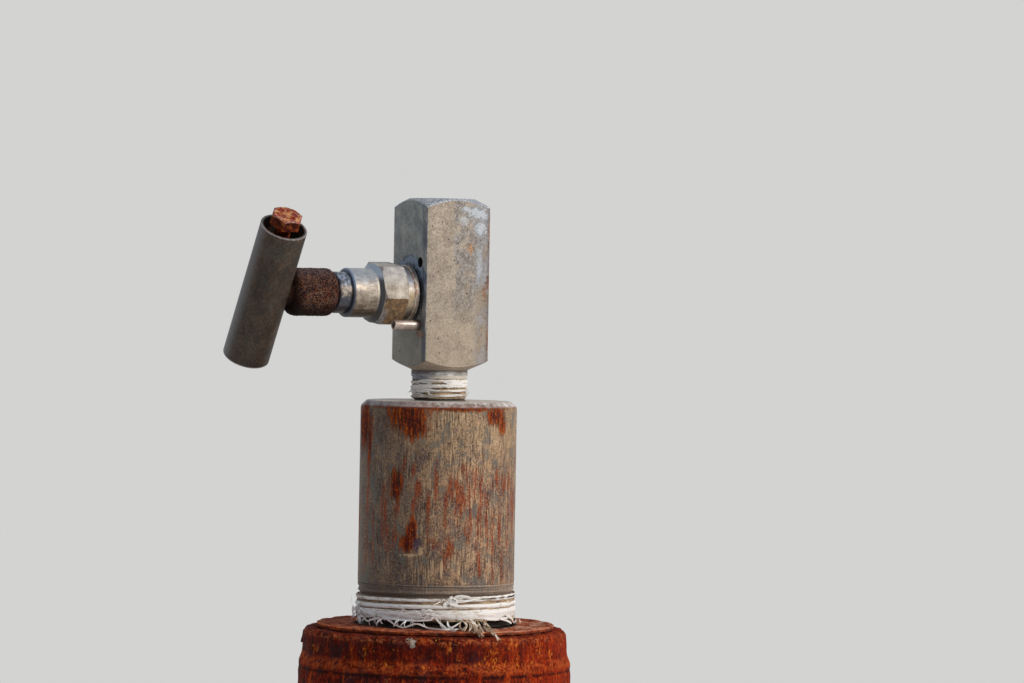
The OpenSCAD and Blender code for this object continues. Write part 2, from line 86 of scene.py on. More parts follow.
PORT_R = 9.3
STEM_Z = BODY_TOP - 36.7
COUPLING_END_R = COUPLING_R - 1.9
HANDLE_LEAN = radians(32.5)

# Pipe threads: how they narrow, and the pitches of the 1/2, 2 and 3 inch sizes
TAPER = 1 / 32
SMALL_PITCH, PLUG_PITCH, CASING_PITCH = 1.814, 2.209, 3.175

# Thread tape: its radius over the threads' crests, and its foot
PLUG_CREST_R, PLUG_TAPE_FOOT = PLUG_R + 0.35, BUSHING_TOP + 2.6
NECK_CREST_R, NECK_TAPE_FOOT = NECK_R + 0.3, PLUG_TOP + 1.0

# Lock-pin holes, sideways and upwards from the stem
LOCK_Y, LOCK_RISE = -8.31, 12

# Distances along the stem, outwards from the body's left face
HUB_FOOT = -highest("handle_hub").x - BODY_HALF
HUB_END = HUB_FOOT + 18
TUBE_U = HUB_END + 9.45
STEM = Matrix.Translation((-BODY_HALF, 0, STEM_Z)) @ Matrix.Rotation(-pi / 2, 4, "Y")
TUBE = (STEM @ Matrix.Translation((0, 0, TUBE_U)) @ Matrix.Rotation(-HANDLE_LEAN, 4, "Z")
        @ Matrix.Rotation(pi / 2, 4, "Y"))

# The photograph's camera, in millimetres and degrees about the casing axis
VIEW_ANGLE, VIEW_AWAY, VIEW_HEIGHT = -28.07, 1658.0, 400.9
VIEW_YAW, VIEW_PITCH, VIEW_ROLL = -0.960, 0.611, 0.995
VIEW_FOCAL_PIXELS, PHOTO_WIDTH = 4300, 1024
RIGHTWARDS = Vector((cos(radians(VIEW_ANGLE)), sin(radians(VIEW_ANGLE)), 0))
BACKDROP = "d3d3d2"

# Where the photograph shows the horizon and the casing axis, which leans a little across it
HORIZON_PIXEL_Y = 294.4
AXIS_PIXEL_X, AXIS_PIXEL_Y, AXIS_LEAN = 441.6, 280, 0.0203

# Small marks that the photograph shows, in its pixels
DUST_PIXELS = ((408, 639), (412, 644))
BLISTER_PIXEL, PIT_PIXEL, SCRATCH_PIXEL = (412, 545), (416.5, 546), (441, 569)
CHIP_PIXELS = ((409, 556), (420, 552))

# Added to the depths that a mesh carries, so that a piece without them counts as far from any spot
MARK_SHIFT = 2


class Amount:
    """A number that varies over a surface; its operators add Math nodes to its finish."""

    def __init__(self, finish, socket):
        self.finish, self.socket = finish, socket

    def maths(self, operation, *values):
        return self.finish.node("ShaderNodeMath", {"operation": operation}, dict(enumerate(values)))

    def __add__(self, other):
        return self.maths("ADD", self, other)

    def __mul__(self, other):
        return self.maths("MULTIPLY", self, other)

    def __sub__(self, other):
        return self.maths("SUBTRACT", self, other)

    def __rsub__(self, other):
        return self.maths("SUBTRACT", other, self)

    __radd__, __rmul__ = __add__, __mul__

    def most(self, other):
        return self.maths("MAXIMUM", self, other)

    def size(self):
        return self.maths("ABSOLUTE", self)

    def rise(self, low, high):
        """0 below low and 1 above high, smooth between them; turned round where low is the larger."""
        return self.finish.node("ShaderNodeMapRange", {"interpolation_type": "SMOOTHSTEP"},
                                {"Value": self, "From Min": low, "From Max": high})

    def near(self, middle, reach, full=0.0):
        """1 within full of the middle, and 0 from the reach on."""
        return (self - middle).size().rise(reach, full)


def tint(colour):
    """Linear colour of a six-digit code; a colour that is no code stays as it is."""
    if not isinstance(colour, str):
        return colour
    parts = [int(colour[i:i + 2], 16) / 255 for i in (0, 2, 4)]
    return tuple(c / 12.92 if c <= 0.04045 else ((c + 0.055) / 1.055) ** 2.4 for c in parts) + (1.0,)


class Wiring:
    """A node tree whose nodes all come from one method."""

    def __init__(self, tree):
        self.tree = tree

    def node(self, kind, settings=None, values=None, output=0):
        """Adds a node of that kind, with its settings, then the values or links of its sockets."""
        made = self.tree.nodes.new(kind)
        for key, setting in (settings or {}).items():
            if key == "stops":
                elements = made.color_ramp.elements
                elements.remove(elements[1])
                for i, (at, colour) in enumerate(setting):
                    stop = elements[0] if i == 0 else elements.new(at)
                    stop.position, stop.color = at, tint(colour)
            else:
                setattr(made, key, setting)
        for key, value in (values or {}).items():
            if isinstance(value, Amount):
                self.link(value, made.inputs[key])
            else:
                made.inputs[key].default_value = value
        return Amount(self, made.outputs[output])

    def link(self, amount, socket):
        self.tree.links.new(amount.socket, socket)

    def seen(self, *kinds):
        """1 for the rays of those kinds."""
        rays = [self.node("ShaderNodeLightPath", output="Is %s Ray" % kind) for kind in kinds]
        return functools.reduce(Amount.most, rays)


class Finish(Wiring):
    """A material whose colour, gloss and relief are worked out by nodes."""

    def __init__(self, name, roughness=0.6, metallic=0.0, gloss=0.5):
        self.material = bpy.data.materials.new(name)
        self.material.use_nodes = True
        super().__init__(self.material.node_tree)
        self.shader = self.tree.nodes["Principled BSDF"]
        self.shader.inputs["Roughness"].default_value = roughness
        self.shader.inputs["Metallic"].default_value = metallic
        self.shader.inputs["Specular IOR Level"].default_value = gloss
        self.colour = None
        self.place = self.node("ShaderNodeTexCoord", output="Object")
        parted = [self.node("ShaderNodeSeparateXYZ", {}, {0: self.place}, output=i) for i in range(3)]
        self.x, self.y, self.z = [part * (1 / MM) for part in parted]

    def ramp(self, amount, *stops):
        return self.node("ShaderNodeValToRGB", {"stops": stops}, {0: amount})

    def mix(self, amount, under, over):
        """The colour under, turning into the colour over as the amount goes from 0 to 1."""
        values = {0: amount, 6: tint(under), 7: tint(over)}
        return self.node("ShaderNodeMix", {"data_type": "RGBA"}, values, output=2)

    def lay(self, amount, over):
        """Lays a colour over what the finish has so far."""
        self.colour = self.mix(amount, self.colour, over)

    def lay_where(self, amount, *layers):
        """Lays colours, each with the two ends over which the amount brings it in and its share."""
        for low, high, share, over in layers:
            self.lay(amount.rise(low, high) * share, over)

    def scaled(self, size, stretch, shift):
        return self.node("ShaderNodeMapping", {}, {
            "Vector": self.place,
            "Location": (shift * 1.71, shift * -2.37, shift * 3.13),
            "Scale": [1 / MM / size / s for s in stretch]})

    def grain(self, size, detail=3, stretch=(1, 1, 1), harsh=0.5, shift=0):
        """Noise whose lumps have that size in millimetres, drawn out by stretch along each axis."""
        place = self.scaled(size, stretch, shift)
        values = {"Vector": place, "Scale": 1.0, "Detail": detail, "Roughness": harsh}
        return self.node("ShaderNodeTexNoise", {}, values)

    def cells(self, size, stretch=(1, 1, 1), shift=0):
        """Distance from the middle of the nearest of many cells of that size in millimetres."""
        values = {"Vector": self.scaled(size, stretch, shift), "Scale": 1.0}
        return self.node("ShaderNodeTexVoronoi", {}, values)

    def vector(self, operation, first, second=None, output="Vector"):
        values = {0: first} if second is None else {0: first, 1: second}
        return self.node("ShaderNodeVectorMath", {"operation": operation}, values, output=output)

    def along(self, direction):
        """Distance in millimetres along a direction, from the origin."""
        return self.vector("DOT_PRODUCT", self.place, [v / MM for v in direction], "Value")

    def length(self, *parts):
        """Length of the vector that has those parts."""
        joined = self.node("ShaderNodeCombineXYZ", {}, dict(enumerate(parts)))
        return self.vector("LENGTH", joined, output="Value")

    def from_axis(self):
        """Distance in millimetres from the casing axis."""
        return self.length(self.x, self.y)

    def from_hole(self, rise):
        """Distance in millimetres from the line of the lock-pin hole at that height from the stem."""
        return self.length(self.y - LOCK_Y, self.z - (STEM_Z + rise))

    def spot(self, centre, half, ragged=0.6, soft=0.3, grain=None):
        """1 within half sizes of a centre, in millimetres, with a ragged soft edge."""
        away = self.vector("SUBTRACT", self.place, [c * MM for c in centre])
        share = self.vector("MULTIPLY", away, [1 / MM / h for h in half])
        wander = (grain - 0.5) * (2 * ragged)
        return (self.vector("LENGTH", share, output="Value") + wander).rise(1 + soft, 1 - soft)

    def spots(self, grain, soft, *places):
        """The strongest of several spots, each with its centre, half sizes, raggedness and strength."""
        return functools.reduce(Amount.most, [self.spot(centre, half, ragged, soft, grain) * strength
                                              for centre, half, ragged, strength in places])

    def mark(self, name):
        """A value that the piece's mesh carries, and 0 on a piece that has none."""
        return self.node("ShaderNodeAttribute", {"attribute_name": name}, output="Fac")

    def depth(self, name):
        """Depth inside the nearest of the spots that were marked on the piece."""
        return self.mark(name) - MARK_SHIFT

    def wear(self, roughness=None, metallic=None, height=None):
        """Links what varies over the surface to the shader; the height is in millimetres."""
        for name, value in (("Base Color", self.colour), ("Roughness", roughness), ("Metallic", metallic)):
            if value is not None:
                self.link(value, self.shader.inputs[name])
        if height is not None:
            relief = self.node("ShaderNodeBump", {}, {"Strength": 1.0, "Distance": MM, "Height": height})
            self.link(relief, self.shader.inputs["Normal"])
        return self.material


def front_point(pixel_x, pixel_y, radius):
    """Point on a round piece of that radius that the photograph shows at a pixel."""
    scale = VIEW_FOCAL_PIXELS / (VIEW_AWAY - radius)
    height = VIEW_HEIGHT - (pixel_y - HORIZON_PIXEL_Y) / scale
    axis_x = AXIS_PIXEL_X - (pixel_y - AXIS_PIXEL_Y) * AXIS_LEAN
    side = max(-0.999, min(0.999, (pixel_x - axis_x) / (scale * radius)))
    turn = radians(VIEW_ANGLE) + atan2(side, (1 - side * side) ** 0.5)
    return Vector((radius * sin(turn), -radius * cos(turn), height))


def rust(finish, stops, size=6.0, streak=2.0, shift=0, depth=0.12):
    """Scaly rust: lays its colour from dark to bright, and gives its height in millimetres and level."""
    plates = finish.grain(size, 5, (1, 1, streak), 0.62, shift)
    flecks = finish.grain(size * 0.2, 4, (1, 1, streak * 0.8), 0.7, shift + 3)
    level = plates * 0.6 + flecks * 0.4
    finish.colour = finish.ramp(level, *stops)
    return (flecks * 0.6 + plates * 0.8) * depth, level


def rusted_coupling_finish():
    finish = Finish("deep red rust on the coupling", 0.85, 0, 0.12)
    height, level = rust(finish, [(0.38, "160201"), (0.45, "3c0702"), (0.52, "6c1503"), (0.59, "9c2e07"),
                                  (0.67, "de6c1c")], 3.2, 2.2)
    grit = finish.grain(0.8, 4, (1, 1, 1.7), 0.72, 12)
    long = finish.grain(1.3, 4, (1, 1, 5), 0.65, 4)
    finish.lay(long.rise(0.47, 0.38) * 0.6, "1c0605")
    finish.lay_where(grit, (0.54, 0.64, 0.45, "a03c16"), (0.47, 0.38, 0.6, "140303"))
    # Painted light: sunny is the right side, towards the key light, laid brighter red there and with more
    # orange flecks below
    sunny = (finish.along(RIGHTWARDS) + (finish.grain(14, 3, shift=13) - 0.5) * 50).rise(8, 46)
    finish.lay(sunny * grit.rise(0.38, 0.52) * 0.5, "a83206")
    # Plum patches, laid only away from the key light: painted cool shade
    plum = finish.grain(9, 4, (1, 1, 1.2), 0.6, 35).rise(0.53, 0.62) * (1 - sunny)
    finish.lay(plum * 0.5, "3e2024")
    fleck = finish.cells(1.3, (1, 1, 1.9), 5).rise(0.3, 0.08) * finish.grain(6, 3, shift=9).rise(0.52, 0.62)
    finish.lay(fleck * (sunny * 0.5 + 0.4), "e08a34")
    drip = long.rise(0.55, 0.63) * finish.grain(8, 3, shift=25).rise(0.46, 0.6)
    finish.lay(drip * 0.6, "b84e1a")
    lively = finish.depth("lively")
    flare = (lively + (grit - 0.5) * 5.0 + (long - 0.5) * 2.4).rise(0.0, 0.9)
    finish.lay(flare * 0.8, finish.ramp(grit, (0.5, "a0360a"), (0.58, "cf6216"), (0.66, "f6a83c")))
    speck = finish.grain(1.2, 4, harsh=0.75, shift=3)
    upper, lower = [front_point(x, y, COUPLING_END_R) for x, y in DUST_PIXELS]
    dust = finish.spots(speck, 0.15, (upper, (1.2, 1.2, 1.6), 2.0, 1), (lower, (1.0, 1.0, 1.7), 2.0, 1))
    finish.lay(dust * 0.85, "b9b3a4")
    rise = finish.z - COUPLING_TOP
    # Painted shade: a darker band on the turned-down top end, away from the key light
    hollow = rise.near(-5.2, 4.2, 2.2) * (1 - sunny)
    finish.lay(hollow * 0.4, "2a0503")
    # Painted highlight: lighter rust on the upward slope of the step below the turned-down end
    slope = rise.near(-11, 3.0, 0.8) * finish.grain(3.4, 5, (1, 1, 0.6), 0.65, 2).rise(0.4, 0.54)
    finish.lay(slope * 0.65, finish.ramp(grit, (0.42, "8c2e10"), (0.58, "c8602a")))
    # Painted highlight: lighter rust on the rounded top edge
    shoulder = rise.near(-0.7, 1.6, 0.3) * finish.grain(2.2, 5, (1, 1, 0.5), 0.7, 22).rise(0.46, 0.58)
    finish.lay(shoulder * 0.6, finish.ramp(grit, (0.44, "93402a"), (0.6, "d98048")))
    # Painted shade: a dark broken line in the groove below the step
    groove_line = rise.near(-14.2, 0.9, 0.2) * finish.grain(5, 3, shift=24).rise(0.38, 0.5)
    finish.lay(groove_line * 0.75, "120302")
    return finish.wear(roughness=level * 0.3 + 0.68, height=height * 1.4 + grit * 0.14 + fleck * 0.12)


def rusted_bushing_finish():
    finish = Finish("flaking rust on the bushing", 0.85, 0, 0.15)
    height, level = rust(finish, [(0.38, "380f06"), (0.46, "8a3a22"), (0.53, "bd6040"), (0.6, "e09066"),
                                  (0.68, "f8c79c")], 3.0, 1, 11)
    dusty = finish.grain(6, 5, harsh=0.65, shift=21).rise(0.45, 0.62)
    right = finish.along(RIGHTWARDS).rise(-14, 34)
    # Pale dust laid mostly on the right, towards the key light: dust with painted light; the left is laid
    # darker as painted shade
    finish.lay(dusty * (right * 0.65 + 0.12), "e6bb9c")
    finish.lay((1 - right) * 0.2, "7a2c1a")
    grit = finish.grain(0.9, 4, harsh=0.72, shift=12)
    finish.lay(grit.rise(0.47, 0.38) * 0.6, "2c0c08")
    around = finish.from_axis()
    # Painted shade: nearly black close round the plug's foot
    finish.lay(around.rise(33.0, 31.0) * 0.85, "140705")
    # Painted highlight: lighter rust on the flange's rounded rim, palest on the right
    rim = (around - FLANGE_R).rise(-1.6, -0.7) * finish.grain(3, 4, shift=68).rise(0.42, 0.56)
    finish.lay(rim * 0.65, finish.mix(right, "d87238", "c07454"))
    # Painted shade: the flange's side, below its top edge, laid darker over the gap beneath it
    below = (finish.z - BUSHING_TOP + (grit - 0.5) * 1.2).rise(-0.35, -0.75)
    side = below * (around - FLANGE_R).rise(-0.8, -0.4)
    finish.lay(side * 0.85, finish.ramp(level, (0.42, "2c0703"), (0.52, "6e1e0a"), (0.62, "b2511c")))
    return finish.wear(roughness=level * 0.3 + 0.68, height=height * 1.3 + grit * 0.12)


def rusted_pipe_finish():
    finish = Finish("old rust and mill scale on the pipe", 0.85, 0, 0.15)
    height, level = rust(finish, [(0.36, "150403"), (0.45, "45130a"), (0.53, "70240d"), (0.61, "9a4016"),
                                  (0.7, "c46e2a")], 8.0, 2.2, 31)
    bare = finish.grain(17, 5, (1, 1, 1.8), 0.6, 41).rise(0.56, 0.64)
    finish.lay(bare * 0.6, "40302c")
    grit = finish.grain(1.0, 4, (1, 1, 1.6), 0.75, 12)
    finish.lay_where(grit, (0.53, 0.64, 0.4, "9c4a20"), (0.47, 0.37, 0.65, "120504"))
    run = finish.grain(2.4, 3, (1, 1, 22), 0.6, 44).rise(0.55, 0.68)
    finish.lay(run * 0.5, "9a4c22")
    mud = (finish.z + (finish.grain(6, 4, shift=45) - 0.5) * 44).rise(26, 4)
    finish.lay(mud * 0.85, "8c765c")
    return finish.wear(roughness=level * 0.2 + 0.72, height=height * 1.2 + bare * -0.05 + grit * 0.14)


def plug_steel_finish():
    finish = Finish("weathered plug steel with rust streaks", 0.6, 0.1, 0.25)
    cloud = finish.grain(7, 5, (1, 1, 1.4), 0.65)
    hair = finish.grain(0.45, 3, (1, 1, 15), 0.6, 2)
    fine = finish.grain(0.62, 4, (1, 1, 1.25), 0.72, 5)
    streak = finish.grain(0.8, 5, (1, 1, 11), 0.68, 8)
    edge = finish.grain(1.7, 5, (1, 1, 3.6), 0.72, 1)
    rise, climb = finish.z - PLUG_TOP, finish.z - PLUG_WALL_FOOT
    rightwards = finish.along(RIGHTWARDS)
    lit = rightwards.rise(-26, 16)
    finish.colour = finish.ramp(cloud, (0.4, "665045"), (0.5, "8a6f5a"), (0.6, "ae8a6a"))
    # Painted light: the left, away from the key light, laid darker as painted shade, the upper right
    # lighter, and the pale hairs and specks stronger on the lit side
    finish.lay((1 - lit) * 0.6, "463b38")
    high = (rise + (cloud - 0.5) * 30).rise(-34, -12)
    finish.lay(high * lit * 0.45, "c4a47c")
    worked = finish.grain(6, 4, (1, 1, 2), 0.6, 39).rise(0.4, 0.6)
    finish.lay(hair.rise(0.51, 0.64) * worked * (lit * 0.4 + 0.25), "dcc09e")
    finish.lay(fine.rise(0.52, 0.62) * (lit * 0.3 + 0.32), "cfac88")
    finish.lay(hair.rise(0.49, 0.37) * worked * 0.8, "402820")
    finish.lay(fine.rise(0.48, 0.37) * 0.75, "261813")
    slate = finish.grain(5, 4, (1, 1, 1.3), 0.6, 19)
    finish.lay_where(slate, (0.54, 0.6, 0.6, "64645f"), (0.44, 0.38, 0.4, "4c4a52"))
    low = climb.rise(-4, 22) * rise.rise(-10, -36)
    red = streak.rise(0.53, 0.61) * rightwards.rise(-8, 24) * low
    red = red * finish.grain(7, 4, (1, 1, 1.8), 0.6, 14).rise(0.4, 0.56) * 0.65
    rusty = finish.ramp(fine, (0.4, "461205"), (0.58, "8c3c12"))
    finish.lay(red, rusty)
    drawn = (finish.depth("drawn") + (edge - 0.5) * 2.0).rise(-0.35, 0.35) * streak.rise(0.41, 0.53)
    orange = finish.ramp(fine * 0.6 + streak * 0.4, (0.42, "3e1004"), (0.49, "702206"), (0.56, "a04812"))
    finish.lay(drawn * 0.85, orange)
    inner = finish.depth("stained")
    depth = inner + (edge - 0.5) * 2.2 + (streak - 0.5) * 1.8 + (fine - 0.5) * 1.2
    stain = depth.rise(-0.25, 0.3)
    deep = finish.ramp(streak * 0.5 + finish.grain(0.7, 5, (1, 1, 1.8), 0.74, 17) * 0.5, (0.41, "1c0200"),
                       (0.47, "460a00"), (0.53, "701900"), (0.6, "c8640a"))
    deep = finish.mix(depth.rise(0.7, 0.1) * streak.rise(0.44, 0.54) * 0.7, deep, "b4561a")
    finish.lay(stain * 0.95, deep)
    hole = finish.grain(1.3, 4, harsh=0.7, shift=6)
    pit = finish.spot(front_point(*PIT_PIXEL, PLUG_R), (1.4, 1.4, 2.7), 0.9, 0.35, hole)
    finish.lay(pit * 0.9, finish.ramp(fine, (0.42, "1c1018"), (0.6, "6a5264")))
    chip = finish.grain(1.2, 5, harsh=0.78, shift=9)
    wide_chip, tall_chip = [front_point(x, y, PLUG_R) for x, y in CHIP_PIXELS]
    scratch = front_point(*SCRATCH_PIXEL, PLUG_R)
    lip = finish.spot(wide_chip, (3.0, 3.0, 0.6), 3.0, 0.3, chip)
    lip = lip.most(finish.spot(tall_chip, (0.9, 0.9, 1.5), 2.2, 0.35, chip))
    lip = lip.most(finish.spot(scratch, (0.5, 0.5, 3.6), 0.8, 0.3, edge))
    finish.lay(lip * 0.75, "cfae88")
    bare_top = (rise + 1.9).rise(-0.5, 0.4)
    dull = finish.grain(2.6, 5, harsh=0.7, shift=23)
    top = finish.ramp(dull, (0.4, "a69a94"), (0.5, "d0c6c2"), (0.6, "eae4e6"))
    # Painted cool shade: the top's left side, away from the key light, laid blue-grey
    top = finish.mix(rightwards.rise(0, -20) * 0.5, top, "8f93a6")
    top = finish.mix(rise.rise(-0.35, -0.05) * 0.7, top, "dfd6cc")
    specks = finish.grain(1.5, 5, harsh=0.75, shift=29).rise(0.55, 0.61).most(stain * 0.55)
    top = finish.mix(specks * 0.7, top, "8e5438")
    finish.lay(bare_top, top)
    brow = rise.near(-2.3, 0.7, 0.2) * finish.grain(4, 4, shift=66).rise(0.4, 0.52)
    finish.lay(brow * 0.55, "7c3f1c")
    foot = (climb - 1.0).rise(0.4, -0.4)
    # Painted light: the turned foot of the wall in a lit copy on the right and a shaded copy on the left
    finish.lay(foot * 0.5, finish.mix(lit, "5a504c", "a89c90"))
    rings = finish.grain(0.5, 3, (60, 60, 1), 0.6, 31)
    finish.lay(foot * rings.rise(0.5, 0.42) * 0.5, "4a3e38")
    # Painted shade: the thread's grooves under the wall laid darker, and all close above the bushing nearly
    # black
    groove = (PLUG_R - 0.25 - finish.from_axis() + climb * TAPER).rise(0.0, 0.55)
    finish.lay(groove * climb.rise(0.3, -0.3) * 0.6, "5c483c")
    gap = (finish.z - BUSHING_TOP).rise(4.5, 2.5)
    finish.lay(gap * 0.9, "0d0807")
    scab = stain * (finish.grain(1.0, 4, shift=33) * 0.3 + 0.04)
    height = hair * 0.05 + fine * 0.08 + scab - pit * 0.4 + lip * 0.15
    rough = (stain.most(red)) * 0.4 + 0.5 + cloud * 0.08
    return finish.wear(roughness=rough, metallic=(1 - stain.most(gap)) * 0.1, height=height)


def thread_tape_finish():
    finish = Finish("dirty thread tape", 0.62, 0, 0.3)
    wrinkle = finish.grain(0.7, 4, (8, 8, 1), 0.65)
    dirt = finish.grain(2.4, 5, (2.2, 2.2, 1), 0.7, 3)
    finish.colour = finish.ramp(wrinkle, (0.36, "d8cfc4"), (0.44, "faf7f3"), (0.54, "fffefc"))
    # Painted cool shade: the tape's left side, away from the key light, laid bluish
    cool = finish.along(RIGHTWARDS).rise(2, -18)
    finish.lay(cool * 0.45, "eaf0fc")
    lines = finish.grain(0.9, 4, (16, 16, 1), 0.6, 7).rise(0.56, 0.63)
    finish.lay(lines * 0.4, "b09470")
    finish.lay_where(dirt, (0.56, 0.66, 0.5, "c2a077"), (0.64, 0.72, 0.7, "6a4a2a"))
    rise = finish.z - PLUG_TOP
    under = (rise - 2.3 + (dirt - 0.5) * 3).rise(0.5, -0.7) * rise.rise(-1, 0)
    finish.lay(under * 0.6, "7e6244")
    return finish.wear(roughness=dirt * 0.2 + 0.5, height=wrinkle * 0.12)


def stained_tape_finish():
    finish = Finish("rust-stained tape fibres", 0.7, 0, 0.2)
    stain = finish.grain(1.4, 4, harsh=0.65, shift=5)
    finish.colour = finish.ramp(stain, (0.36, "8a4c1e"), (0.44, "cfa574"), (0.52, "f6ecdc"))
    return finish.wear(height=stain * 0.05)


def tape_over_thread_finish():
    """Tape worn through to the thread: pale on the ridges, brown in the grooves, and darker there on the
    left as painted shade.
    """
    finish = Finish("worn tape packed in the thread", 0.65, 0, 0.25)
    worn = finish.mark("worn")
    wrinkle = finish.grain(0.7, 4, (8, 8, 1), 0.65)
    dirt = finish.grain(2.2, 5, (2.4, 2.4, 1), 0.7, 3)
    finish.colour = finish.ramp(wrinkle, (0.38, "a89c92"), (0.46, "dfdbd6"), (0.56, "fafaf9"))
    finish.lay(dirt.rise(0.52, 0.64) * 0.7, "a8845c")
    groove = (worn + (wrinkle - 0.5) * 0.5 + (dirt - 0.5) * 0.9).rise(0.2, 0.4)
    groove_soil_and_shade = finish.ramp(dirt, (0.4, "6e5640"), (0.5, "a58a6c"), (0.6, "cdb696"))
    # Painted shade: the grooves laid darker on the left, away from the key light
    groove_soil_and_shade = finish.mix(finish.along(RIGHTWARDS).rise(6, -14) * 0.45, groove_soil_and_shade, "3a302c")
    finish.lay(groove, groove_soil_and_shade)
    return finish.wear(roughness=groove * 0.15 + 0.55, height=wrinkle * 0.1)


def plated_body_finish():
    finish = Finish("weathered zinc on the body", 0.55, 0.15, 0.35)
    cloud = finish.grain(7, 5, (1, 1, 1.1), 0.6)
    fine = finish.grain(0.8, 4, harsh=0.72, shift=2)
    mesh = finish.grain(2.2, 4, harsh=0.7, shift=31).near(0.5, 0.03)
    rise, out, around = finish.z - STEM_Z, 0 - finish.x - BODY_HALF, finish.from_axis()
    finish.colour = finish.ramp(cloud, (0.4, "9d8f82"), (0.5, "aa9c8c"), (0.6, "b5a795"))
    finish.lay_where(fine, (0.52, 0.64, 0.45, "d0c1ae"), (0.48, 0.38, 0.5, "7a6b5e"))
    finish.lay(mesh * finish.grain(6, 3, shift=37).rise(0.42, 0.56) * 0.55, "7c6d60")
    front = (0 - finish.y).rise(9, 13)
    finish.lay(rise.rise(-4, -18) * 0.3, "cdb9a0")
    flaky = finish.grain(1.3, 5, (1, 1, 1.1), 0.75, 6)
    patch = finish.grain(4.5, 5, (1, 1, 1.9), 0.65, 5)
    grey = (finish.x + (flaky - 0.5) * 3).rise(-2.4, -1.0) * front * patch.rise(0.4, 0.5)
    grey = grey * (rise + (patch - 0.5) * 50).rise(-14, 10)
    finish.lay(grey * 0.8, finish.ramp(flaky, (0.42, "736d69"), (0.5, "8b8580"), (0.58, "a5a2a1")))
    side = (finish.x + (flaky - 0.5) * 4).rise(6.5, 9.5) * front
    finish.lay(side * 0.45, finish.ramp(patch, (0.42, "8a7664"), (0.5, "8f8a8c"), (0.58, "9aa0ac")))
    finish.lay(finish.x.rise(11.8, 13.4) * front * 0.45, "5f4c40")
    bloom = finish.spots(flaky, 0.2, *[
        ((x, -BODY_HALF, BODY_TOP - down), (wide, 4, tall), ragged, strength)
        for x, down, wide, tall, ragged, strength in (
            (8.4, 5.6, 3.6, 2.2, 2.4, 1), (3.4, 4.2, 1.8, 1.2, 2.4, 1), (9.6, 11.5, 2.4, 2.2, 2.4, 1),
            (2.6, 8.6, 2.2, 1.8, 2.4, 0.6), (9.2, 25, 1.2, 6.5, 2.2, 0.5))])
    finish.lay(bloom * 0.85, "d0d6de")
    tan_mark = finish.spot((5.4, -BODY_HALF, BODY_TOP - 19.6), (1.0, 4, 2.0), 1.4, 0.3, flaky)
    finish.lay(tan_mark * 0.7, "b48458")
    left = out.rise(-0.5, -0.1)
    # The left face, away from the key light, laid blue-grey as painted cool shade, with its own blotches and
    # specks, and warmer towards the bottom
    slate = finish.ramp(cloud, (0.4, "84898a"), (0.5, "989b9b"), (0.6, "a7a8a4"))
    slate = finish.mix(fine.rise(0.52, 0.66) * 0.35, slate, "bcc2c4")
    slate = finish.mix(fine.rise(0.47, 0.36) * 0.45, slate, "5c6064")
    blotch = finish.grain(2.6, 4, harsh=0.65, shift=38)
    slate = finish.mix(blotch.rise(0.55, 0.63) * 0.4, slate, "6a6c6e")
    slate = finish.mix(rise.rise(0, -24) * 0.5, slate, "948977")
    finish.lay(left, slate)
    # Painted shadow of the bonnet: a bluish patch with a navy edge round the stem, on the upper half of the
    # left face
    ring, collar_r, arc_r = finish.length(finish.y, rise), 11.2, 14.6
    wander = (finish.grain(4, 4, harsh=0.6, shift=9) - 0.5) * 4.5
    high = rise.rise(-2, 8)
    arc = (ring + wander).near(arc_r, 0.9, 0.2) * high * finish.grain(3, 3, shift=43).rise(0.42, 0.52)
    inside = (ring + wander).rise(arc_r + 1, arc_r - 0.6) * high
    finish.lay(left * inside * 0.7, "7a92b4")
    finish.lay(left * arc * 0.6, "2c3a54")
    # Painted shade: a dark ring on the left face round the bonnet's foot
    collar = (ring - collar_r).rise(1.6, 0.2) * left * finish.grain(2, 4, shift=45).rise(0.36, 0.5)
    finish.lay(collar * 0.7, "1f242e")
    # Painted shadow: a dark strip along the left face's front edge
    corner = finish.y.rise(-9.2, -11.4) * left * finish.grain(3, 3, (1, 1, 4), 0.6, 44).rise(0.34, 0.5)
    finish.lay(corner * 0.7, "3a4258")
    cone_slope, cone_rise = 0.51, 6.3
    cone = around * cone_slope - cone_rise
    # Painted sky reflection: the top cone laid silver-blue, with darker blotches
    above = (cone + finish.z - BODY_TOP).rise(-0.35, -0.05) * rise.rise(0, 1)
    above = above.most((finish.z - BODY_TOP).rise(-0.4, -0.1))
    silver = finish.ramp(fine, (0.4, "8f97a8"), (0.5, "b4bbc9"), (0.6, "d5dae2"))
    silver = finish.mix(blotch.rise(0.56, 0.64) * 0.5, silver, "6d6a6c")
    finish.lay(above * 0.9, silver)
    # Painted shade: the cone under the body laid dark brown
    below = (cone - finish.z + BODY_FOOT).rise(-0.35, -0.05)
    finish.lay(below * rise.rise(0, -1) * 0.75, "57442f")
    neck = (finish.z - BODY_FOOT).rise(0.1, -0.2)
    # The plain neck under the body: painted cool shade on its left, a painted highlight low on its right,
    # and painted shadow of the body just under it
    bright = finish.grain(1.6, 4, (2, 2, 0.7), 0.65, 47)
    bright = finish.ramp(bright, (0.4, "85827f"), (0.52, "b3b0ac"), (0.62, "d6d6d8"))
    painted_cool_left_side = finish.along(RIGHTWARDS).rise(2, -8)
    bright = finish.mix(painted_cool_left_side * 0.6, bright, "78839c")
    bright = finish.mix((finish.z - BODY_FOOT + 1.9).rise(0.1, -0.5) * (1 - painted_cool_left_side) * 0.8, bright, "efe6da")
    bright = finish.mix((finish.z - BODY_FOOT + painted_cool_left_side * 0.9).rise(-1.3, -0.3) * 0.75, bright, "4c3a2a")
    finish.lay(neck, bright)
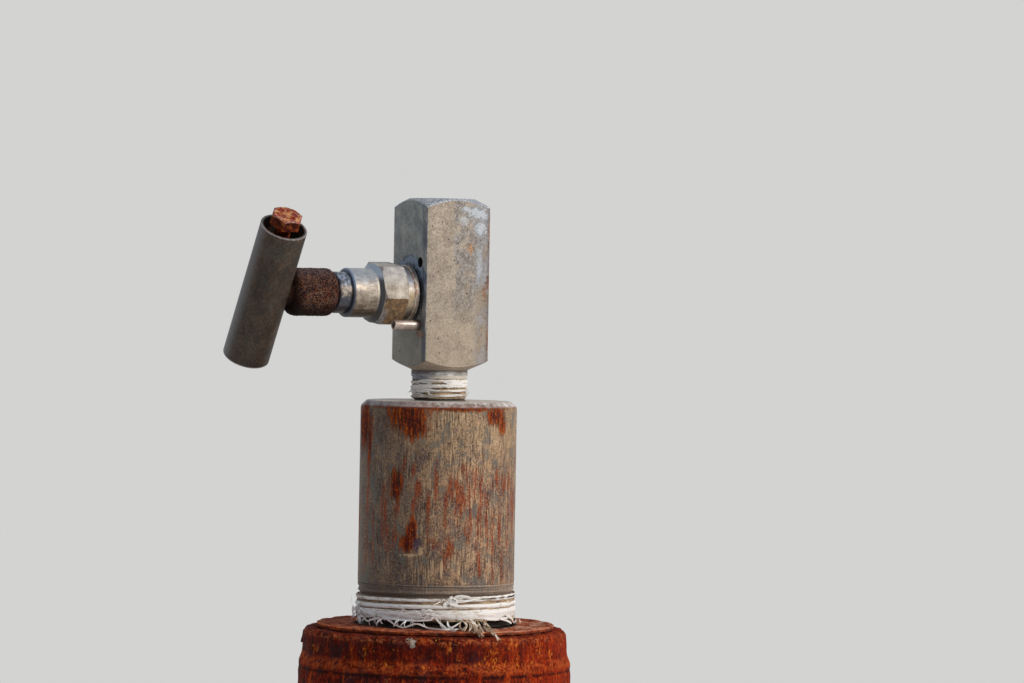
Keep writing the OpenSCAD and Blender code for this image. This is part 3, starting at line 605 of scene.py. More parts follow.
    # Painted shade: nearly black on the neck's thread just above the plug
    painted_neck_foot_shade = (finish.z - NECK_PLAIN_FOOT).rise(0, -0.5) * (finish.z - PLUG_TOP).rise(2.2, 0.8)
    finish.lay(painted_neck_foot_shade * 0.85, "120c0a")
    pits = finish.cells(2.6, (1, 1, 1.2), 4).rise(0.16, 0.05)
    pits = pits * finish.grain(5, 2, shift=12).rise(0.46, 0.56)
    small = finish.cells(1.1, shift=14).rise(0.2, 0.06) * finish.grain(4, 3, shift=15).rise(0.46, 0.58)
    pits = pits.most(small * 0.75) * (1 - neck)
    finish.lay(pits * 0.8, "473a32")
    hairline = finish.grain(5, 4, (1, 1, 1.2), 0.6, 16).near(0.5, 0.009) * fine.rise(0.38, 0.5)
    finish.lay(hairline * 0.65, "5c4e44")
    rusty = finish.spots(
        flaky, 0.3,
        ((BODY_HALF, -BODY_HALF, STEM_Z + 4), (1.0, 1.0, 3.4), 2.4, 1),
        ((BODY_HALF - 2.0, -BODY_HALF, STEM_Z + 1), (0.7, 0.7, 3.0), 2.4, 0.8),
        ((BODY_HALF, -BODY_HALF, STEM_Z - 17), (0.8, 0.8, 7), 2.2, 0.8),
        ((BODY_HALF, -BODY_HALF, STEM_Z + 24), (0.8, 0.8, 6), 1.8, 0.6),
        ((-BODY_HALF, -9, STEM_Z - 15.4), (2, 3.4, 1.6), 1.8, 0.8))
    finish.lay(rusty * 0.75, finish.ramp(flaky, (0.42, "5a3420"), (0.58, "ab6a3c")))
    rubbed = finish.mark("rubbed")
    finish.lay(rubbed * fine.rise(0.4, 0.5) * (1 - left) * (1 - below) * 0.45, "cfcac8")
    # Painted shade: the open lock-pin hole laid black inside
    hollow = finish.from_hole(LOCK_RISE).rise(2.2, 2.1) * out.rise(-0.12, -0.3)
    hollow = hollow * finish.x.rise(-4, -5)
    finish.lay(hollow, "060404")
    height = fine * 0.07 + cloud * 0.1 + mesh * -0.03 - pits * 0.2 - hairline * 0.06 + bloom * flaky * 0.15
    return finish.wear(roughness=fine * 0.2 + 0.47 + bloom * 0.15, metallic=(1 - bloom.most(rusty)) * 0.15,
                       height=height)


def plated_bonnet_finish():
    """Zinc with painted reflections of sky above and of brown ground below, and painted highlights and
    shade, each part of the bonnet in its own way.
    """
    finish = Finish("satin zinc with painted reflections and rust below", 0.45, 0.5)
    turned = finish.grain(0.5, 3, (1, 60, 60), 0.7, 2)
    cloud = finish.grain(3.0, 4, (1.3, 1, 1), 0.62)
    fine = finish.grain(0.8, 4, harsh=0.7, shift=12)
    out = 0 - finish.x - BODY_HALF
    rise = finish.z - STEM_Z
    washer_end, base_end, hexagon_end, neck_end = 3.0, 6.0, 16.3, 28.2
    finish.colour = finish.ramp(cloud, (0.38, "978b7e"), (0.5, "b3a698"), (0.61, "cfc3b3"))
    finish.lay_where(turned, (0.52, 0.64, 0.2, "e6ded2"), (0.47, 0.36, 0.25, "6a5f55"))
    finish.lay(fine.rise(0.46, 0.36) * 0.3, "5f5348")
    # Painted sky reflection: the upper side laid bluish, most on the neck
    cool = (rise + (cloud - 0.5) * 6).rise(1.5, 7)
    neck = out.rise(hexagon_end + 0.3, hexagon_end + 1.1)
    finish.lay(cool * (neck * 0.45 + 0.3), "a8b4c4")
    patchy = finish.grain(1.4, 4, (2.2, 1, 1), 0.66, 24)
    # Painted highlight: pale cream patches on the neck's upper half
    finish.lay(neck * patchy.rise(0.54, 0.64) * rise.rise(-2, 2) * 0.42, "ead8c0")
    finish.lay(neck * patchy.rise(0.46, 0.38) * 0.45, "6c6460")
    grime = finish.grain(1.8, 4, (1.3, 1, 1), 0.66, 4)
    # Painted ground reflection and shade: the neck's lower side laid brown, darkest at the bottom
    dull = (rise + (grime - 0.5) * 7).rise(1.8, -5.5) * neck
    finish.lay(dull * (patchy.rise(0.56, 0.44) * 0.35 + 0.55), "66543f")
    finish.lay((rise + (grime - 0.5) * 3).rise(-6, -8.2) * neck * 0.7, "35261c")
    # The hexagon's lower side laid brown: rust, and painted reflection of the ground
    below = (rise + (fine - 0.5) * 1.2).rise(-1.7, -2.3)
    brown = below * out.rise(hexagon_end + 0.1, hexagon_end - 0.5) * out.rise(base_end, base_end + 0.4)
    rusty = finish.grain(1.5, 4, harsh=0.68, shift=7)
    rusty = finish.ramp(rusty, (0.38, "5c4632"), (0.5, "785c40"), (0.62, "94744e"))
    finish.lay(brown * grime.rise(0.24, 0.32) * 0.97, rusty)
    ember = finish.spot((-BODY_HALF - hexagon_end + 0.9, -5, STEM_Z - 2.6), (1.2, 4, 1.6), 1.6, 0.3, grime)
    finish.lay(ember * 0.6, "b5713c")
    pale = out.rise(hexagon_end - 2.9, hexagon_end - 1.7) * out.rise(hexagon_end + 0.3, hexagon_end - 0.1)
    finish.lay(pale * rise.rise(-5, -8) * 0.65, "8d9096")
    base = out.rise(base_end + 0.1, base_end - 0.2) * out.rise(washer_end, washer_end + 0.4)
    # Painted light on the round base: a bluish sky reflection above, a pale lit band in the middle and dark
    # brown shade at the bottom
    finish.lay(base * rise.rise(1, 5) * fine.rise(0.4, 0.52) * 0.6, "7a8aa5")
    finish.lay(base * rise.rise(2, -1) * rise.rise(-7, -4) * (fine.rise(0.42, 0.56) * 0.45 + 0.3),
               "c4ab84")
    finish.lay(base * rise.rise(-4, -8) * 0.75, "4e3a26")
    # Painted shade with some dirt: a dark line in the corner where the hexagon meets the base
    edge = out.near(base_end, 0.35, 0.1)
    finish.lay(edge * 0.6, "3f382f")
    groove_line = out.near(washer_end - 0.1, 0.9, 0.25) * finish.grain(1.1, 4, harsh=0.75, shift=5).rise(0.42, 0.54)
    finish.lay(groove_line * 0.9, finish.ramp(fine, (0.42, "2c180c"), (0.58, "b46a28")))
    shadow = out.rise(hexagon_end - 0.2, hexagon_end + 0.1) * out.rise(hexagon_end + 1.3, hexagon_end + 1)
    # Painted light on the shoulder's chamfer: navy shadow, brown at the bottom, and a painted sky reflection
    # at the top
    finish.lay(shadow * rise.rise(7.5, 4.5) * 0.9, "28303f")
    finish.lay(shadow * rise.rise(4.5, 7.5) * 0.9, "b9cbe2")
    finish.lay(shadow * rise.rise(-5, -8) * 0.8, "2a1810")
    # Painted highlight: a pale band round the neck beside the shoulder
    band = out.near(hexagon_end + 1.6, 0.6, 0.2) * rise.rise(-5, -1) * rise.rise(8, 4)
    finish.lay(band * 0.5, "e8dcca")
    lip = out.rise(neck_end - 0.9, neck_end - 0.5)
    # Painted light on the neck's outer end: a bluish highlight above, navy shade below and a dark shaded
    # line at the very end
    finish.lay(lip * rise.rise(-1, 3) * 0.75, "7f9cc4")
    finish.lay(lip * rise.rise(3, -1) * 0.75, "3a475e")
    finish.lay(out.rise(neck_end - 0.25, neck_end - 0.05) * 0.75, "232c40")
    soot = grime.rise(0.54, 0.64) * rise.rise(-1, -8)
    finish.lay(soot * 0.5, "3a2c22")
    rubbed = finish.mark("rubbed")
    finish.lay(rubbed * (1 - shadow) * (1 - lip) * (1 - brown * 0.7) * 0.4, "e6e2dc")
    flat = out.rise(hexagon_end + 0.2, hexagon_end - 0.3) * out.rise(base_end - 0.2, base_end + 0.2)
    metal = (1 - brown.most(flat * 0.8)) * (1 - shadow.most(lip)) * 0.5
    return finish.wear(roughness=grime * 0.2 + 0.34 + brown * 0.2 + flat * 0.15, metallic=metal,
                       height=turned * 0.02 + grime * 0.04 + fine * 0.04 + brown * 0.03)


def gasket_finish():
    finish = Finish("perished gasket", 0.85)
    mark = finish.grain(0.8, 4, harsh=0.6)
    finish.colour = finish.ramp(mark, (0.4, "14110f"), (0.62, "3a322d"))
    return finish.wear(height=mark * 0.08)


def bright_steel_finish():
    finish = Finish("bright turned steel", 0.35, 0.6)
    smooth = finish.grain(1.6, 4, (3, 1, 1), 0.6)
    speck = finish.grain(1.0, 4, harsh=0.7, shift=3).rise(0.56, 0.66)
    finish.colour = finish.ramp(smooth, (0.4, "a08e84"), (0.58, "cdbab0"))
    finish.lay(speck * 0.6, "66493a")
    # Painted shade: darker close to the body's face
    finish.lay((0 - finish.x - BODY_HALF).rise(3.2, 0.4) * 0.75, "4a3a32")
    # Painted shade: the lock pin's hollow end laid nearly black
    hollow = finish.from_hole(-LOCK_RISE).rise(1.3, 1.2)
    finish.lay(hollow, "120c0a")
    return finish.wear(roughness=smooth * 0.3 + 0.2 + speck * 0.3, metallic=(1 - hollow) * 0.6,
                       height=smooth * 0.03)


def packing_finish():
    finish = Finish("moulded packing", 0.45)
    mark = finish.grain(1.2, 3)
    finish.colour = finish.ramp(mark, (0.4, "cfcac0"), (0.6, "e6e2d9"))
    return finish.wear(height=mark * 0.02)


def gland_finish():
    finish = Finish("dull turned gland", 0.42, 0.25)
    cloud = finish.grain(1.9, 5, (0.8, 1, 1), 0.7, 5)
    rise = finish.z - STEM_Z + (cloud - 0.5) * 4
    finish.colour = finish.ramp(cloud, (0.4, "5a514c"), (0.5, "7c7269"), (0.6, "b0a394"))
    # Painted light: the upper side laid bluish as painted sky reflection, and the lower side navy, then
    # brown at the bottom, as painted shade
    cool = finish.ramp(cloud, (0.42, "2c3240"), (0.5, "5c6678"), (0.58, "93a6c0"))
    finish.lay(rise.rise(1.6, 4.0) * 0.85, cool)
    finish.lay_where(rise, (-0.6, -2.2, 0.85, "353c4c"), (-4.5, -6.5, 0.85, "2c1c14"))
    return finish.wear(roughness=cloud * 0.3 + 0.3, height=cloud * 0.05)


def rusted_hub_finish():
    finish = Finish("granular rust on the hub", 0.9, 0, 0.15)
    grit = finish.grain(0.55, 3, harsh=0.7)
    lump = finish.grain(2.4, 4, harsh=0.65, shift=2)
    finish.colour = finish.ramp(grit * 0.75 + lump * 0.25, (0.4, "0c0404"), (0.46, "2b1813"),
                                (0.52, "4c3127"), (0.6, "80604a"))
    hue = finish.grain(1.3, 4, harsh=0.72, shift=16)
    finish.lay_where(hue, (0.53, 0.62, 0.5, "6b2a1c"), (0.46, 0.38, 0.5, "403844"))
    spark = finish.cells(0.9, shift=6).rise(0.26, 0.08) * finish.grain(1.8, 4, shift=7).rise(0.47, 0.56)
    finish.lay(spark * 0.75, finish.ramp(lump, (0.42, "c0522a"), (0.52, "b98a5c"), (0.6, "8f9a84")))
    # Painted sky reflection: a greyish tint on the upper side
    cool = (finish.z - STEM_Z).rise(4, 9) * hue.rise(0.42, 0.56)
    finish.lay(cool * 0.5, "6a626e")
    hollow = finish.cells(0.95, shift=9).rise(0.3, 0.12)
    finish.lay(hollow * 0.85, "070302")
    # Painted shade: darker towards the bottom
    low = (finish.z - STEM_Z + (lump - 0.5) * 5).rise(-3, -8.5)
    finish.lay(low * 0.85, "0f0503")
    # Painted shade: dark on the lower side of the hub's end, by the tube
    inner = (0 - finish.x - BODY_HALF).rise(HUB_END - 5, HUB_END - 0.5) * (finish.z - STEM_Z).rise(4, -5)
    finish.lay(inner * 0.8, "140806")
    return finish.wear(roughness=lump * 0.1 + 0.85, height=grit * 0.3 - hollow * 0.25)


def in_tube(finish):
    """Distances from the handle tube's axis and along it, in millimetres."""
    to_tube = TUBE.inverted()
    across, over, along = [finish.along(to_tube[i][:3]) + to_tube[i][3] for i in range(3)]
    return finish.length(across, over), along


def galvanised_tube_finish():
    finish = Finish("dull galvanised tube", 0.5, 0.15, 0.42)
    radius, along = in_tube(finish)
    half_length, wall_r, bore_r = 28.85, 8.95, 7.88
    cloud = finish.grain(6, 4, (1, 1, 1.4), 0.6)
    fine = finish.grain(0.8, 4, (1, 1, 1.3), 0.72, 3)
    finish.colour = finish.ramp(cloud, (0.4, "33271f"), (0.5, "3f3228"), (0.6, "4d3f33"))
    finish.lay_where(fine, (0.52, 0.64, 0.35, "6e6154"), (0.48, 0.36, 0.65, "1a110d"))
    brown = finish.grain(4, 4, (1, 1, 2), 0.65, 5).rise(0.52, 0.64)
    finish.lay(brown * 0.35, "503a26")
    green = finish.grain(6, 4, (1, 1, 1.6), 0.6, 25).rise(0.52, 0.64)
    finish.lay(green * 0.3, "41463e")
    scuff = finish.cells(2.2, shift=26).rise(0.12, 0.04) * finish.grain(5, 2, shift=27).rise(0.5, 0.6)
    finish.lay(scuff * 0.5, "8d7f60")
    way = (TUBE.to_3x3() @ UP).normalized()
    side = (RIGHTWARDS.dot(way) * way - RIGHTWARDS).normalized()
    # Painted rim light: a pale grey strip along the tube's left edge
    painted_cool_left_side = (finish.along(side) - TUBE.translation.dot(side)).rise(5.6, 9.2)
    finish.lay(painted_cool_left_side * 0.6, "85858b")
    rim = (along + 0.3).size().rise(half_length - 0.55, half_length - 0.15)
    rim = rim * radius.rise(wall_r - 0.75, wall_r - 0.25)
    finish.lay(rim * 0.75, finish.ramp(fine, (0.42, "857d7d"), (0.56, "b5b0b2")))
    inside = radius.rise(bore_r + 0.22, bore_r + 0.05)
    oxide = finish.grain(1.6, 4, harsh=0.65, shift=8)
    oxide = finish.ramp(oxide, (0.36, "0e0705"), (0.5, "22120c"), (0.66, "582812"))
    finish.lay(inside * 0.95, oxide)
    return finish.wear(roughness=fine * 0.2 + 0.45 + inside * 0.3, metallic=(1 - inside) * 0.2,
                       height=fine * 0.06)


def rusted_bolt_finish():
    finish = Finish("orange rust on the bolt", 0.85, 0, 0.15)
    height, level = rust(finish, [(0.38, "0e0302"), (0.45, "38110a"), (0.52, "6d2810"), (0.59, "ae5420"),
                                  (0.66, "f0a048")], 2.2, 1, 51, 0.1)
    radius, up = in_tube(finish)
    crown_foot, ring_r = 33.6, 2.9
    crown = up.rise(crown_foot, crown_foot + 0.4)
    mottle = finish.grain(1.7, 5, harsh=0.78, shift=55)
    pink = finish.ramp(mottle, (0.4, "5a1a12"), (0.46, "a8482c"), (0.52, "d0764c"), (0.6, "f2d08c"))
    purple = finish.grain(2.0, 4, harsh=0.7, shift=57).rise(0.5, 0.58)
    pink = finish.mix(purple * 0.7, pink, "7c3850")
    ring = (radius + (mottle - 0.5) * 1.6).near(ring_r, 0.7, 0.2)
    pink = finish.mix(ring * 0.6, pink, "6a1c14")
    pink = finish.mix((radius + (mottle - 0.5) * 3).rise(1.8, 0.8) * 0.5, pink, "e8b070")
    finish.lay(crown * 0.95, pink)
    dark = up.rise(crown_foot, crown_foot - 0.6) * up.rise(crown_foot - 3.2, crown_foot - 2.2)
    finish.lay(dark * 0.5, "2a0e08")
    rubbed = finish.mark("rubbed")
    finish.lay(rubbed * up.rise(crown_foot - 1.6, crown_foot - 0.2) * 0.7, "b8a2a8")
    finish.lay(rubbed * up.rise(crown_foot - 2.6, crown_foot - 3.6) * 0.6, "d8783a")
    return finish.wear(roughness=level * 0.2 + 0.75, height=height * 1.6)


def floor_finish():
    """Pale floor that keeps the object's shadow, and far out shows the backdrop's own colour."""
    finish = Finish("pale floor", 0.8, 0, 0.0)
    seen = finish.seen("Camera", "Glossy")
    far = finish.from_axis().rise(700, 2300) * seen
    finish.colour = finish.mix(far, "e9e8e6", (0, 0, 0, 1))
    glow = finish.mix(seen, (0, 0, 0, 1), finish.mix(far, (0.19, 0.19, 0.187, 1), BACKDROP))
    finish.link(glow, finish.shader.inputs["Emission Color"])
    finish.shader.inputs["Emission Strength"].default_value = 1.0
    return finish.wear()


SLOTS = {
    "rusted_pipe": rusted_pipe_finish(), "rusted_coupling": rusted_coupling_finish(),
    "rusted_bushing": rusted_bushing_finish(), "plug_steel": plug_steel_finish(),
    "thread_tape": thread_tape_finish(), "plated_body": plated_body_finish(),
    "plated_bonnet": plated_bonnet_finish(), "gasket": gasket_finish(),
    "bright_steel": bright_steel_finish(), "packing": packing_finish(),
    "gland_steel": gland_finish(), "rusted_hub": rusted_hub_finish(),
    "galvanised_tube": galvanised_tube_finish(), "rusted_bolt": rusted_bolt_finish(),
}


def piece(name, shape, body, slot, nodes=(), place=None, material=None, sharp=40):
    """Makes a piece from a shape in millimetres, and puts it on its body."""
    if place is not None:
        shape.transform(place)
    shape.transform(Matrix.Scale(MM, 4))
    for face in shape.faces:
        face.smooth = True
    for edge in shape.edges:
        edge.smooth = not (len(edge.link_faces) == 2 and edge.calc_face_angle(0) > radians(sharp))
    mesh = bpy.data.meshes.new(name)
    shape.to_mesh(mesh)
    shape.free()
    made = bpy.data.objects.new(name, mesh)
    bpy.context.scene.collection.objects.link(made)
    mesh.materials.append(material or SLOTS[slot])
    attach(made, body)
    if nodes:
        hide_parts(*nodes)
    return made


def whole(shape):
    return shape.verts[:] + shape.edges[:] + shape.faces[:]


def cut_off(shape, height, side, reach):
    """Cuts off what lies above a height, or what lies below it where the side is -1."""
    bmesh.ops.bisect_plane(shape, geom=whole(shape), dist=reach, plane_co=(0, 0, height),
                           plane_no=(0, 0, side), clear_outer=True)


def sweep_round(shape, steps, rise=0.0, turns=1):
    """Turns an outline about the upright axis, at least so many turns.

    A sixteenth of a turn is made, and copied on by doubling."""
    parts = 16
    angle = 2 * pi / parts
    bmesh.ops.spin(shape, geom=shape.verts[:] + shape.edges[:], cent=(0, 0, 0), axis=UP,
                   dvec=(0, 0, rise / steps), angle=angle, steps=steps // parts)
    done = 1
    while done < parts * turns:
        made = bmesh.ops.duplicate(shape, geom=whole(shape))["geom"]
        copied = [v for v in made if isinstance(v, bmesh.types.BMVert)]
        bmesh.ops.rotate(shape, cent=(0, 0, 0), matrix=Matrix.Rotation(angle * done, 3, "Z"), verts=copied)
        bmesh.ops.translate(shape, vec=(0, 0, rise * done / parts), verts=copied)
        done *= 2
    bmesh.ops.remove_doubles(shape, verts=shape.verts, dist=1e-3)


def lathe(corners, steps, spacing=None):
    """Closed outline of (radius, height, rounding) corners, turned about the upright axis."""
    shape = bmesh.new()
    made = [shape.verts.new((r, 0, z)) for r, z, _ in corners]
    for a, b in zip(made, made[1:] + made[:1]):
        shape.edges.new((a, b))
    for rounding in sorted({corner[2] for corner in corners if corner[2]}):
        bmesh.ops.bevel(shape, geom=[v for v, corner in zip(made, corners) if corner[2] == rounding],
                        offset=rounding, offset_type="OFFSET", segments=4, profile=0.5,
                        affect="VERTICES", material=-1, clamp_overlap=True)
    if spacing:
        divide(shape, spacing)
    sweep_round(shape, steps)
    bmesh.ops.recalc_face_normals(shape, faces=shape.faces)
    return shape


def divide(shape, spacing):
    """Divides the edges down to the spacing, which is a number or a rule on an edge's middle."""
    groups = {}
    for edge in shape.edges:
        middle = (edge.verts[0].co + edge.verts[1].co) / 2
        gap = spacing(middle) if callable(spacing) else spacing
        groups.setdefault(max(0, ceil(edge.calc_length() / gap) - 1), []).append(edge)
    for cuts, edges in groups.items():
        if cuts:
            bmesh.ops.subdivide_edges(shape, edges=edges, cuts=cuts)


def weather(shape, rule):
    """Moves each point out along its normal by a rule on its place."""
    shape.normal_update()
    for point, out in [(v, v.normal * rule(v.co)) for v in shape.verts]:
        point.co += out


def scaly(depth, size, shift=0.0, streak=1.0):
    """Rule for rusted metal: plates of scale with pits between them, never proud of the plain metal."""
    offset = Vector((shift, shift * 0.7, -shift))

    def rule(co):
        at = Vector((co.x, co.y, co.z / streak)) / size + offset
        plates = min(1, max(0, noise.fractal(at, 0.8, 2.1, 4) * 1.6 + 0.5))
        grit = noise.noise(at * 5.3) * 0.25
        return depth * min(0.0, plates * plates * (3 - 2 * plates) - 1 + grit)
    return rule


def marked(shape, name, spots):
    """Notes on each point how deep it lies inside the nearest spot.

    A spot has a centre, a half width and a half height."""
    layer = shape.verts.layers.float.new(name)
    for vert in shape.verts:
        depth = -1.0
        for centre, wide, tall in spots:
            away = vert.co - centre
            if abs(away.z) < 2 * tall and abs(away.x) < 2 * wide:
                depth = max(depth, 1 - hypot(away.x / wide, away.y / wide, away.z / tall))
        vert[layer] = depth + MARK_SHIFT


def seen_spots(radius, *spots):
    """Spots at pixels of the photograph, on a round piece of that radius."""
    return [(front_point(x, y, radius), wide, tall) for x, y, wide, tall in spots]


def other_spots(radius, *spots):
    """Spots that the photograph doesn't show, each at a turn and a height."""
    return [(round_point(radius, turn, height), wide, tall) for turn, height, wide, tall in spots]


def screw(crest, pitch, depth, low, high, steps, fade=0.0, inner=False):
    """Surface of a right-hand thread on a tapered pipe end, shallower over the fade at its top."""
    shape = bmesh.new()
    side = 1 if inner else -1
    profile = (depth, 0), (depth, 0.1), (0, 0.45), (0, 0.58), (depth, 0.93), (depth, 1)
    marks = [shape.verts.new((r, 0, low - pitch + z * pitch)) for r, z in profile]
    for pair in zip(marks, marks[1:]):
        shape.edges.new(pair)
    for mark in marks:
        mark.co.x = crest + side * mark.co.x
    sweep_round(shape, steps, pitch, ceil((high - low) / pitch) + 1)
    cut_off(shape, low, -1, 1e-5)
    cut_off(shape, high, 1, 1e-5)
    for point in shape.verts:
        radius = hypot(point.co.x, point.co.y)
        sunk = abs(radius - crest)
        if fade:
            sunk *= min(1, max(0.0, (high - point.co.z) / fade))
        wanted = crest - (high - point.co.z) * TAPER * (0 if inner else 1) + side * sunk
        point.co.x *= wanted / radius
        point.co.y *= wanted / radius
    bmesh.ops.recalc_face_normals(shape, faces=shape.faces)
    return shape


def join(*shapes):
    """One shape from several."""
    joined = shapes[0]
    for other in shapes[1:]:
        spare = bpy.data.meshes.new("spare")
        other.to_mesh(spare)
        joined.from_mesh(spare)
        other.free()
        bpy.data.meshes.remove(spare)
    return joined


def rub_edges(shape, edge, angle):
    """Rounds the edges sharper than the angle, and marks the roundings as rubbed."""
    sharp = [e for e in shape.edges if len(e.link_faces) == 2 and e.calc_face_angle(0) > radians(angle)]
    made = bmesh.ops.bevel(shape, geom=sharp, offset=edge, offset_type="OFFSET", segments=2, profile=0.5,
                           affect="EDGES", material=-1, clamp_overlap=True)
    rubbed = shape.faces.layers.float.get("rubbed")
    for face in made["faces"]:
        face[rubbed] = 1.0


def cad_copy(node, edge=0.2, angle=22):
    """The node's own shape in millimetres, merged, with its sharp edges rounded and rubbed."""
    shape = bmesh.new()
    shape.from_mesh(frame["nodes"][node].data)
    shape.transform(Matrix.Scale(1 / MM, 4))
    bmesh.ops.remove_doubles(shape, verts=shape.verts, dist=2e-3)
    bmesh.ops.dissolve_limit(shape, angle_limit=radians(0.8), verts=shape.verts[:],
                             edges=shape.edges[:], use_dissolve_boundaries=False, delimit=set())
    shape.faces.layers.float.new("rubbed")
    if edge:
        rub_edges(shape, edge, angle)
    return shape


def ribbon(shape, points, width, thick, turn=0.0, twist=0.0):
    """Adds a flat strand of tape along the points, tapering at its ends."""
    count = len(points)
    made = bmesh.ops.create_grid(shape, x_segments=count - 1, y_segments=1, size=0.5)["verts"]
    for vert in made:
        i = round((vert.co.x + 0.5) * (count - 1))
        side = 1 if vert.co.y > 0 else -1
        along = (points[min(i + 1, count - 1)] - points[max(i - 1, 0)]).normalized()
        out = Vector((points[i].x, points[i].y, 0)).normalized()
        across = along.cross(out).normalized()
        across = Matrix.Rotation(turn + twist * i / count, 3, along) @ across
        share = min(i, count - 1 - i) / (count - 1) * 2
        half = width / 2 * (0.35 + 0.65 * min(1, share * 3))
        vert.co = points[i] + across * (half * side)
    faces = list({f for v in made for f in v.link_faces})
    bmesh.ops.solidify(shape, geom=faces, thickness=thick)


def round_point(radius, turn, height):
    """Point about the casing axis; the turn is in degrees from the front, towards the right."""
    return Vector((radius * sin(radians(turn)), -radius * cos(radians(turn)), height))


def stray(rng, start, length, droop, floor, lean=0.0, steps=9):
    """Points of a loose strand that leaves the tape, curls and sinks, and lies on what is under it."""
    out = Vector((start.x, start.y, 0)).normalized()
    round_way = UP.cross(out)
    heading = (out * 0.55 + round_way * lean + UP * rng.uniform(-0.5, 0.3)).normalized()
    points, at, phase = [start.copy()], start.copy(), rng.uniform(0, 2 * pi)
    for i in range(steps):
        curl = sin(phase + i * rng.uniform(0.6, 1.1)) * 0.4
        heading = heading + round_way * curl + out * rng.uniform(-0.3, 0.2) - UP * droop / steps * 2
        heading.normalize()
        at = at + heading * (length / steps)
        at.z = max(at.z, floor)
        reach = hypot(at.x, at.y)
        near = hypot(start.x, start.y) + 0.15
        if reach < near:
            at.x, at.y = at.x * near / reach, at.y * near / reach
        points.append(at.copy())
    return points


def loose_end(shape, rng, start, length, lean, widths, droop, floor, thick=0.12, steps=9):
    """Adds a stray strand, whose width lies between two limits, with a random turn and twist."""
    points = stray(rng, start, length, droop, floor, lean, steps)
    ribbon(shape, points, rng.uniform(*widths), thick, rng.uniform(-0.8, 0.8), rng.uniform(-2, 2))


def traced(shape, pixels, radius, width, thick=0.16, turn=0.0, floor=0.0, step=0.8):
    """Adds a strand through pixels of the photograph, on a round of that radius or on the floor."""
    marks = []
    for x, y in pixels:
        lying = VIEW_AWAY - (VIEW_HEIGHT - floor) * VIEW_FOCAL_PIXELS / (y - HORIZON_PIXEL_Y)
        reach = radius + 0.25 * noise.noise(Vector((x / 7, y / 7, 0)))
        marks.append(front_point(x, y, min(max(reach, lying), COUPLING_R - 1.0)))
    points = []
    last = len(marks) - 1
    for i in range(last):
        before, a, b, after = marks[max(i - 1, 0)], marks[i], marks[i + 1], marks[min(i + 2, last)]
        parts = max(2, ceil((b - a).length / step))
        for k in range(parts + (i == last - 1)):
            t = k / parts
            points.append(0.5 * (2 * a + (b - before) * t + (2 * before - 5 * a + 4 * b - after) * t * t
                                 + (3 * a - before - 3 * b + after) * t ** 3))
    for point in points:
        reach = min(1.0, (COUPLING_R - 0.6) / hypot(point.x, point.y))
        point.x, point.y = point.x * reach, point.y * reach
    ribbon(shape, points, width, thick, turn)


def winding(radius, low, high, start, sweep, thick, seed, pitch, crest, ridge=0.0, torn=0.6, bulge=0.0,
            spacing=0.45):
    """Band of tape round the stack that climbs with the thread below it: ridges, wrinkles and torn edges.

    The turns are in degrees from the photograph's view, where the band lies between low and high."""
    columns = max(8, int(radius * radians(sweep) / spacing))
    rows = max(3, int((high - low) / 0.3))
    shape = bmesh.new()
    bmesh.ops.create_grid(shape, x_segments=columns, y_segments=rows, size=0.5)
    worn = shape.verts.layers.float.new("worn")
    closed = sweep >= 360
    for vert in shape.verts:
        u, v = vert.co.x + 0.5, vert.co.y + 0.5
        turn = start + sweep * u
        angle = radians(turn + VIEW_ANGLE)
        ring = Vector((cos(angle), sin(angle), 0))
        tear = noise.fractal(ring * 9 + Vector((seed, 0, 0)), 0.6, 2.2, 4)
        tear_high = noise.fractal(ring * 9 + Vector((0, seed + 5, 0)), 0.6, 2.2, 4)
        foot, head = low + torn * (tear - 0.2), high - torn * (tear_high + 0.2) * 0.6
        if not closed:
            end = min(u, 1 - u) * radians(sweep) * radius
            pinch = max(0.0, 1 - end / 3.0)
            narrow, climb = (head - foot) * 0.42 * pinch, pitch * turn / 360
            foot, head = foot + narrow + climb, head - narrow + climb
        z = foot + (head - foot) * v
        hill = 0.5 + 0.5 * cos(2 * pi * ((z - crest) / pitch - turn / 360))
        wrinkle = noise.noise(ring * 5 + Vector((0, 0, z * 2.6 + seed))) * 0.1
        wrinkle += noise.noise(ring * 14 + Vector((0, 0, z * 5.0))) * 0.06
        reach = radius - (high - z) * TAPER - ridge * (1 - hill) + wrinkle + bulge * sin(pi * v)
        vert.co = Vector((reach * sin(angle), -reach * cos(angle), z))
        vert[worn] = (1 - hill) * 0.9 if ridge else 0.0
    bmesh.ops.remove_doubles(shape, verts=shape.verts, dist=1e-4)
    bmesh.ops.recalc_face_normals(shape, faces=shape.faces)
    bmesh.ops.solidify(shape, geom=shape.faces[:], thickness=thick)
    return shape


def casing_pipe():
    """The casing's stub, with the thread that shows below the coupling."""
    thread_foot = COUPLING_FOOT - 12

    def spacing(middle):
        return 0.55 if thread_foot < middle.z < COUPLING_FOOT and middle.x > PIPE_R - 1 else 2.0

    outline = [(PIPE_BORE_R, 0, 0.5), (PIPE_R, 0, 0.8), (PIPE_R, thread_foot, 0),
               (PIPE_R, COUPLING_FOOT, 0), (PIPE_R - 45 * TAPER, PIPE_TOP, 0.4),
               (PIPE_BORE_R, PIPE_TOP, 0.4)]
    shape = lathe(outline, 220, spacing)
    rough = scaly(0.35, 7.0, 3.0, 1.6)

    def rule(co):
        near = max(0.0, min(1.0, (co.z - (COUPLING_FOOT - 9.5)) / 4)) if co.z < COUPLING_FOOT else 0.0
        wave = (co.z / CASING_PITCH - atan2(co.y, co.x) / (2 * pi)) % 1
        return rough(co) - near * 0.75 * (1 - abs(wave - 0.5) * 2)

    weather(shape, rule)
    return piece("casing_pipe_weathered", shape, "stack", "rusted_pipe", ["casing_pipe"], sharp=70)


